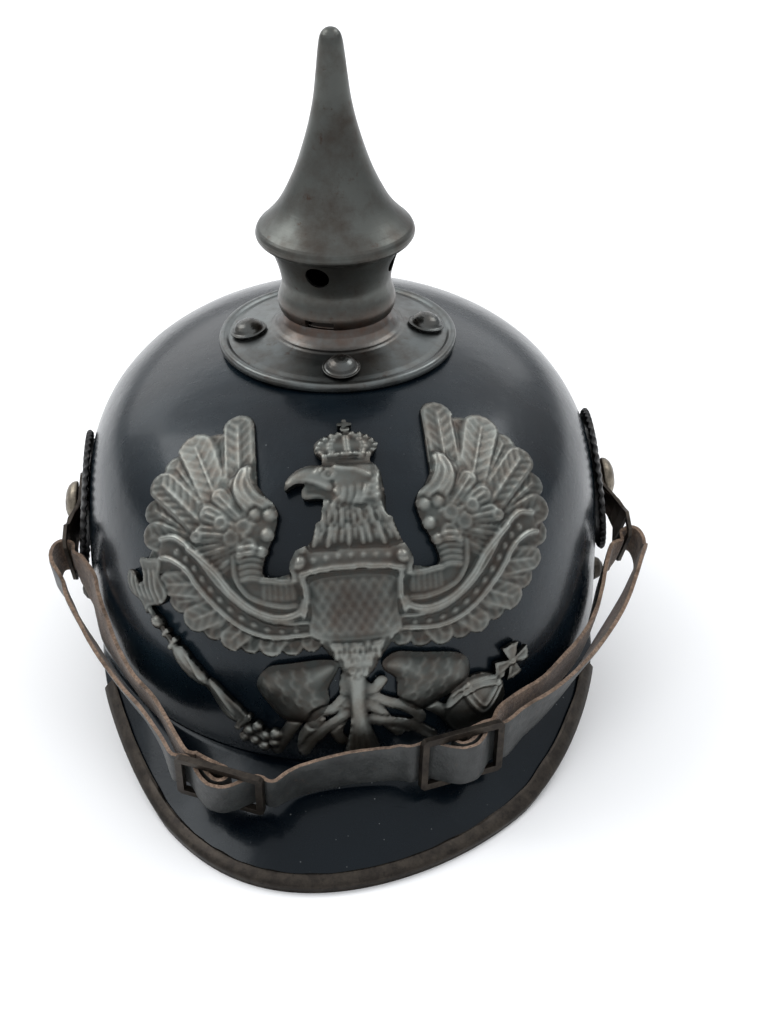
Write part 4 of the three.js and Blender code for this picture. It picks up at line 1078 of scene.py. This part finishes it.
def draw_legs(plate):
    """Claws, thighs with faint scales, and the tail's plumes round its middle feather."""
    left = plate.area([
        (-9, 35), (-20, 33.4), (-27, 31.5), (-31, 25), (-27, 17.5), (-22, 12.5), (-13, 13.5), (-8.5, 20),
        (-8.5, 25), (-5, 33),
    ])
    right = plate.area([
        (8, 34), (12, 36.5), (20, 35.5), (30, 34), (35, 31), (36.3, 26), (34.5, 21.5), (25, 16.8), (20, 15),
        (16, 17), (12.5, 21), (12, 27), (8, 31),
    ])
    claws = [[(-18, 15), (-22, 8), (-26, 1)], [(22, 17), (28, 12), (32, 6)], [(-12, 14), (-16, 8), (-17, 3)]]
    for points in claws:
        plate.strand(points, 2.2, 1.9, dome=0.6, width=1.2)
    for thigh in (left, right):
        plate.lay(thigh, 1.9, dome=2.2, width=4.5)
        # painted shade: the thighs are painted darker
        plate.light = np.where(thigh < 0, -0.12, plate.light)
    for side, thigh in ((-1, left), (1, right)):
        for k in range(5):
            for i in range(4 + k % 2):
                x, y = side * (13 + 4.6 * i - 1.2 * (k % 2) + 0.5 * k), 18.5 + 3.2 * k + 0.5 * i
                scale = [(x, y), (x + side * 0.9, y + 1.5), (x + side * 0.6, y + 3.0)]
                plate.ridge(scale, 0.22, 0.4, within=thigh)
    tail = plate.area([
        (-2.5, 32), (2.5, 32), (3, 20), (4, 12), (7, 2), (3, -1), (-4, -1), (-3.5, 4), (-2, 13), (-2.5, 20),
    ])
    plumes = [
        [(2, 24), (8, 20), (15, 17), (20, 12), (16, 9)], [(2, 20), (7, 16), (10, 11), (13, 8)],
        [(1, 27), (4.6, 24), (7.4, 27)], [(-2, 24), (-7, 18), (-12, 16), (-14, 12)],
        [(-2, 20), (-5, 14), (-6.5, 9), (-5, 6)], [(2, 14), (16, 10), (24, 4)],
        [(-1, 27), (-3.4, 24), (-3, 29)], [(-3, 16), (-9, 11), (-14, 6), (-17, 1)],
    ]
    for points in plumes:
        distance = plate.strand(points, 1.9, 1.7, rim=0.35, dome=0.3)
        plate.height += np.where(distance < 0.4, 0.35 * np.exp(-(distance / 0.4) ** 2), 0.0)
    plate.lay(tail, 2.4, dome=0.8, width=1.5)
    for shift in (-1.6, -0.5, 0.6, 1.7):
        barb = [(shift * 0.6, 31), (shift * 0.8, 18), (shift * 1.4 + 0.3, 8), (shift * 2.0 + 1, 0)]
        plate.ridge(barb, 0.45, 0.35, within=tail)


def draw_sceptre(plate):
    """A leafed shaft with a crest on top and a cluster of knobs at its foot."""
    shaft = [(-30, 4), (-40, 12.5), (-50, 23), (-60, 34), (-67, 44), (-72, 52)]
    plate.strand(shaft, 1.6, 2.0, dome=0.8, width=1.0)
    low_leaf = [(-37.5, 8.5), (-35.5, 12.5), (-41, 18.5), (-47.6, 24.4), (-48.4, 21), (-47, 17), (-43, 10.5)]
    high_leaf = [(-49.5, 21), (-49, 25), (-54, 31), (-57, 35.4), (-61.4, 34.6), (-61.2, 29), (-56, 23)]
    for points in (low_leaf, high_leaf):
        leaf = plate.shape(points, 2.2, rim=0.4, dome=1.1, width=1.8)
        (ax, ay), (bx, by) = points[0], points[3]
        plate.ridge([(ax - 2, ay + 2), (bx + 1.5, by - 3)], 0.5, 0.6, False, leaf)
    for points in ([(-39, 7), (-34.6, 12)], [(-62.6, 34), (-59.6, 38)], [(-64.6, 39), (-62.6, 41)]):
        plate.strand(points, 1.0, 3.0, dome=0.4, width=0.5, smooth=False)
    knobs = [
        (-35, 6.5), (-32, 8.6), (-33, 3), (-29.4, 5.6), (-30, 1.4), (-26.6, 3.4), (-26, 6.6), (-36.6, 3.6),
    ]
    for i, (x, y) in enumerate(knobs):
        plate.bead(x, y, 2.0 - 0.1 * (i % 3), 2.6)
    plate.bead(-67, 44, 3.0, 2.4)
    crest = plate.shape([
        (-60.5, 54), (-63.6, 51.2), (-70, 50), (-72, 46.5), (-74, 52), (-79, 56), (-80, 62), (-77.5, 66),
        (-74, 64), (-73, 60), (-70, 62), (-70.5, 69.5), (-66, 69), (-60.5, 68), (-62, 62), (-60, 57),
    ], 1.9, rim=0.5, dome=0.5)
    for i in range(6):
        fold = [(-63 - 2.6 * i, 52 + 0.7 * i), (-64.4 - 2.5 * i, 58 + 0.5 * i), (-64 - 2.3 * i, 64)]
        plate.ridge(fold, 0.55, 0.7, within=crest)


def draw_orb(plate):
    """A banded ball with a cross of four flared arms."""
    ball_x, ball_y = 39.5, 12.2
    plate.lay(plate.disc(ball_x, ball_y, 11.6), 1.9, rim=0.3, dome=2.4, width=5.0)
    ball = plate.disc(ball_x, ball_y, 11.2)
    level = [(28.6, 15), (34, 19.4), (41, 20.6), (48, 19)]
    hanging = [(34.6, 20), (38, 14), (42, 10), (46, 14), (49.4, 18.6)]
    for points in (level, hanging):
        distance = plate.line(points)[0]
        plate.height += np.where((distance < 1.5) & (ball < 0), 0.45, 0.0)
        plate.height += np.where(ball < 0, 0.8 * np.exp(-((distance - 1.3) / 0.35) ** 2), 0.0)
    plate.lay(plate.disc(48.4, 21.4, 2.0), 2.8, dome=0.5)
    centre = np.array([53.6, 24.6])
    for turn in (14, 104, 194, 284):
        a = math.radians(turn)
        way, side = np.array([math.cos(a), math.sin(a)]), np.array([-math.sin(a), math.cos(a)])
        flare = ((0, -0.9), (7, -3.4), (7.4, 0), (7, 3.4), (0, 0.9))
        arm = [centre + way * out + side * off for out, off in flare]
        plate.shape([tuple(corner) for corner in arm], 2.3, rim=0.35, smooth=False)
    plate.bead(*centre, 1.6, 2.7)


def draw_eagle():
    plate = Relief()
    for side in (1, -1):
        plate.turn(EAGLE["turn"], side)
        draw_wing(plate)
    plate.turn(0.0)
    draw_legs(plate)
    draw_sceptre(plate)
    draw_orb(plate)
    plate.turn(EAGLE["turn"])
    draw_body(plate)
    plate.x = plate.x - EAGLE["head_shift"]
    draw_head(plate)
    draw_crown(plate)
    return plate


def plate_cells(plate):
    """Grid cells that the plate fills, with none that meet only at a corner."""
    corner = plate.outline < 0.12
    cells = corner[:-1, :-1] & corner[1:, :-1] & corner[:-1, 1:] & corner[1:, 1:]
    cells[0], cells[-1], cells[:, 0], cells[:, -1] = False, False, False, False
    for _ in range(3):
        a, b, c, d = cells[:-1, :-1], cells[1:, 1:], cells[1:, :-1], cells[:-1, 1:]
        c |= a & b & ~c & ~d
        a |= c & d & ~a & ~b
    return cells


def snapped(plate, cells):
    """Grid corners, with those along the plate's edge moved onto its outline."""
    full = np.zeros(plate.u.shape, int)
    for down in (0, 1):
        for across in (0, 1):
            full[down:down + cells.shape[0], across:across + cells.shape[1]] += cells
    slope_v, slope_u = np.gradient(plate.outline, plate.step)
    size = np.maximum(np.hypot(slope_u, slope_v), 0.3)
    move = np.where((full > 0) & (full < 4), np.clip(plate.outline, -0.3, 0.3), 0.0) / size
    return plate.u - move * slope_u / size, plate.v - move * slope_v / size, full > 0


def solid_faces(number, cells, count):
    """Quads of a sheet of grid cells with a back and side walls; the back's corners follow the top's."""
    a, b = number[:-1, :-1][cells], number[:-1, 1:][cells]
    d, c = number[1:, :-1][cells], number[1:, 1:][cells]
    faces = [*zip(a.tolist(), b.tolist(), c.tolist(), d.tolist())]
    faces += [(s + count, r + count, q + count, p + count) for p, q, r, s in faces]
    empty = ~np.pad(cells, 1)
    sides = (empty[:-2, 1:-1], empty[1:-1, 2:], empty[2:, 1:-1], empty[1:-1, :-2])
    for open_side, first, second in zip(sides, (a, b, c, d), (b, c, d, a)):
        edge = open_side[cells]
        faces += [(p, p + count, q + count, q) for p, q in zip(first[edge].tolist(), second[edge].tolist())]
    return faces


def build_eagle(material):
    plate = draw_eagle()
    cells = plate_cells(plate)
    u, v, used = snapped(plate, cells)
    height = np.maximum(plate.softened(1), EAGLE["least_height"])
    raised = height - plate.softened(30)
    count = int(used.sum())
    number = np.full(used.shape, -1)
    number[used] = np.arange(count)
    top = lay_on_skull(u[used], v[used], height[used])
    back = lay_on_skull(u[used], v[used], np.full(count, EAGLE["back_gap"]))
    piece = add_piece("eagle_relief", np.vstack([top, back]), solid_faces(number, cells, count), "helmet",
                      [material], sharp=70.0, replaces=("eagle_plate",))
    # ridge mixes real rubbing and patina with painted light and shade: a lighter lower plate and darker
    # thighs
    ridge = np.clip(0.5 + 0.7 * raised[used] + plate.light[used], 0, 1)
    for name, value in (("ridge", ridge), ("tint", plate.tint[used])):
        layer = piece.data.attributes.new(name, "FLOAT", "POINT")
        layer.data.foreach_set("value", np.r_[value, np.zeros(count)])


def round_edges(node, width, material):
    """A CAD node shown as it is, with its edges rounded."""
    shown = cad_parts[node]
    weld = shown.modifiers.new("weld", "WELD")
    weld.merge_threshold = 0.00002
    bevel = shown.modifiers.new("edges", "BEVEL")
    bevel.width = width * MM
    bevel.segments = 2
    bevel.limit_method = "ANGLE"
    bevel.angle_limit = math.radians(35)
    paint_node(node, material)


def paint_node(node, material):
    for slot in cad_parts[node].material_slots:
        slot.material = material


# ---------------------------------------------------------------- chin strap
def strap_frame(centre, heading, dip, lean):
    """A buckle's place: x runs along the strap, y across it and z out of its face."""
    a, d, t = (math.radians(x) for x in (heading, dip, lean))
    along = Vector((math.cos(a) * math.cos(d), math.sin(a) * math.cos(d), math.sin(d)))
    rise = (Vector((0, 0, 1)) - along * along.z).normalized()
    up = rise * math.cos(t) + along.cross(rise) * math.sin(t)
    turn = Matrix((along, up, along.cross(up))).transposed().to_4x4()
    return Matrix.Translation(Vector(centre)) @ turn


LEFT_BUCKLE = strap_frame((-43.9, -119.4, 24.6), -20.2, -6.6, 17.8)
RIGHT_BUCKLE = strap_frame((32.7, -112.2, 26.6), 22.2, -2.2, 2.0)


def leaning(rows):
    """Strap rows from x, y, z and lean: the strap's middle, and its width leaning out from upright."""
    out = []
    for x, y, z, lean in rows:
        away = Vector((x, y, 0)).normalized() * math.sin(math.radians(lean))
        out.append((Vector((x, y, z)), Vector((away.x, away.y, math.cos(math.radians(lean))))))
    return out


def in_buckle(place, rows):
    up = place.to_3x3() @ Vector((0, 1, 0))
    return [(place @ Vector((along, 0, out)), up) for along, out in rows]


def folded_end(place, side):
    """The end of the strap turns round the buckle's middle bar; side is -1 where it comes from -X."""
    rows = [(14, -5.4), (9.5, -4.6), (4.8, -3.5), (1.4, -2.95), (-0.9, -2.6), (-2.3, -1.55), (-2.8, 0),
            (-2.3, 1.55), (-0.9, 2.6), (1.0, 2.6), (2.8, 1.8), (4.8, 0.4), (6.9, -1.35)]
    return in_buckle(place, [(side * along, out) for along, out in rows])


def over_middle_bar(place):
    """Under one side bar, out over the middle bar and under the other side bar."""
    half = [(17, -2.2), (13.4, -2.5), (11.4, -2.4), (8.8, -0.3), (5.6, 2.9), (2.8, 4.7)]
    return in_buckle(place, [(-a, o) for a, o in half] + [(0, 5.1)] + half[::-1])


def lug_turn(side, swing, offset, reach):
    """The strap's turn round the sill of a lug's window."""
    middle = LUG_SEAT + LUG["sheet"] / 2 + offset
    place = post_matrix(side)
    place.translation /= MM
    place = place @ Matrix.Rotation(math.radians(-side * swing), 4, "Z")
    twist = math.radians(LUG["twist"])
    up = place.to_3x3() @ Vector((-side * math.cos(twist), 0, math.sin(twist)))
    rows = [
        (reach * 0.96, -6.4), (reach, -2.6), (reach * 0.8, 0.6), (reach * 0.35, 2.1), (-1.2, 1.7),
        (-2.3, 0.3), (-2.7, -2.6),
    ]
    return [(place @ Vector((0, LUG["sill"] + along, middle + out)), up) for out, along in rows]


LEFT_OUTER = leaning([
    (-62.2, -101.5, 28.0, 20), (-67.6, -88.2, 29.0, 26), (-74.2, -76.2, 30.0, 28), (-82.4, -60.8, 33.0, 28),
    (-88.0, -50.7, 37.0, 24), (-92.6, -43.0, 41.2, 18), (-95.6, -36.4, 45.4, 14),
])
LEFT_INNER = leaning([
    (-89.4, -30.4, 49.4, 6), (-86.0, -36.8, 46.6, 0), (-84.4, -42.6, 43.4, 0), (-82.0, -50.6, 39.4, 0),
    (-77.6, -60.4, 35.4, 10), (-70.6, -75.2, 32.4, 18), (-63.2, -87.6, 30.6, 18),
])
RIGHT_INNER = leaning([
    (46.6, -97.4, 27.8, 2), (52.9, -90.8, 28.6, 8), (60.8, -83.7, 29.1, 12), (68.0, -73.9, 29.7, 14),
    (76.5, -62.2, 31.2, 15), (81.8, -52.6, 33.6, 15), (85.2, -43.9, 37.0, 14), (88.2, -35.2, 41.6, 12),
    (91.2, -28.6, 45.0, 12),
])
RIGHT_OUTER = leaning([
    (100.8, -32.6, 44.4, 16), (97.4, -38.8, 40.6, 22), (92.6, -46.6, 36.4, 30), (87.6, -54.0, 33.2, 34),
    (80.0, -65.6, 30.2, 32), (71.8, -77.4, 28.9, 28), (63.0, -88.6, 28.2, 20), (54.0, -97.2, 27.5, 10),
])
FRONT = leaning([
    (-19.5, -118.6, 24.1, 14), (-4, -115.8, 26, 9), (11, -115, 26.6, 6),
])


def strap_rows():
    left = over_middle_bar(LEFT_BUCKLE)[::-1] + LEFT_OUTER + lug_turn(**LEFT_LUG) + LEFT_INNER
    right = over_middle_bar(RIGHT_BUCKLE) + RIGHT_OUTER[::-1] + lug_turn(**RIGHT_LUG) + RIGHT_INNER[::-1]
    return (left + folded_end(LEFT_BUCKLE, -1))[::-1] + FRONT + right + folded_end(RIGHT_BUCKLE, 1)


def frayed(along, broad, fine):
    """How far a cut edge strays from straight."""
    broad_wave = noise.noise(Vector((along * 0.31, *broad)))
    return 0.22 * broad_wave + 0.12 * noise.noise(Vector((along * 1.3, *fine)))


def strap_section(i, spot, along, across):
    """The strap's outline at one spot: its finished side, then its flesh side."""
    half, thick = STRAP["width"] / 2, STRAP["thickness"] / 2
    at, up = spot[:3], spot[3:]
    up = up - along * up.dot(along)
    up /= np.linalg.norm(up)
    out = np.cross(along, up)
    upper = frayed(i, (0.0, 5.0), (4.0, 0.0))
    lower = frayed(i, (9.0, 1.0), (7.0, 2.0))
    section = []
    for face in (1, -1):
        for u in across[::face]:
            reach = u + (upper if u > 0 else -lower) * (abs(u) / half) ** 4
            soft = thick - 0.28 * (abs(u) / half) ** 8
            lump = 0.1 * noise.noise(Vector((i * 0.12, u * 0.3, 3.0 + face)))
            section.append(at + up * reach + out * face * (soft + lump * 0.5))
    return section


def build_strap(grain, suede, edge):
    spots = smooth_path([[*at, *up.normalized()] for at, up in strap_rows()], 620)
    half, corner = STRAP["width"] / 2, 0.35
    across = np.r_[-half, np.linspace(-half + corner, half - corner, 9), half]
    sections = []
    for i, spot in enumerate(spots):
        along = spots[min(i + 1, len(spots) - 1)][:3] - spots[max(i - 1, 0)][:3]
        sections.append(strap_section(i, spot, along / np.linalg.norm(along), across))
    corners, faces = tube(sections)
    size = 2 * len(across)
    around = [0] * (len(across) - 1) + [2] + [1] * (len(across) - 1) + [2]
    slots = around * (len(spots) - 1) + [2] * (len(faces) - (len(spots) - 1) * size)
    add_piece("strap_leather", corners, faces, "helmet", [grain, suede, edge], slots, 60.0, ("chin_strap",))


# ---------------------------------------------------------------- assembly
add_camera()
add_studio()
add_floor()

shell = lacquer("skull_lacquer", 0.8, 0.19)
peak = lacquer("visor_lacquer", 0.2, 0.12)
spike_metal = grey_steel("spike_steel", (0.094, 0.098, 0.091), (0.058, 0.050, 0.043), 0.26, 0.5,
                         (139.0, 133.0))
# 131.3 mm: above it the base's collar is painted near black, a painted shade where it shows through the
#           spike's notches
base_metal = grey_steel("base_steel", (0.120, 0.130, 0.128), (0.070, 0.062, 0.054), 0.2, 0.46,
                        (124.4, 129.0), 131.3)
stud_metal = grey_steel("stud_steel", (0.085, 0.090, 0.088), (0.060, 0.050, 0.042), 0.16, 0.4)
eagle_metal = plate_steel()
# buckles and lugs are lighter copies of the trim's steel: painted light
trim_metal = brown_steel("trim_steel", 1.0)
buckle_metal = brown_steel("buckle_steel", 1.15)
lug_metal = brown_steel("lug_steel", 1.6)
enamel = black_enamel()
brass = aged_brass()

build_skull(shell)
build_visor("front_peak", -1, TRIM["metal"] + GAP, VISOR["sheet"], peak, ("front_visor",))
build_visor("rear_peak", 1, 0.0, VISOR["rear_sheet"], peak, ("rear_visor",))
build_trim(trim_metal)
build_spike_base(base_metal)
build_spike(spike_metal)
build_studs(stud_metal)
for word, side in (("left", -1), ("right", 1)):
    build_cockade(f"disc_{word}", side, enamel, spike_metal)
    build_knob(f"knob_{word}", side, brass)
    round_edges(f"strap_lug_{word}", 0.25, lug_metal)
    round_edges(f"side_rivet_{word}", 0.1, trim_metal)
    round_edges(f"buckle_{word}", 0.35, buckle_metal)
# the cut edges are painted 1.3 times lighter than the flesh side: a painted highlight along the edges
build_strap(strap_grain(), strap_suede("strap_flesh_side", 1.0), strap_suede("strap_cut_edge", 1.3))
build_eagle(eagle_metal)
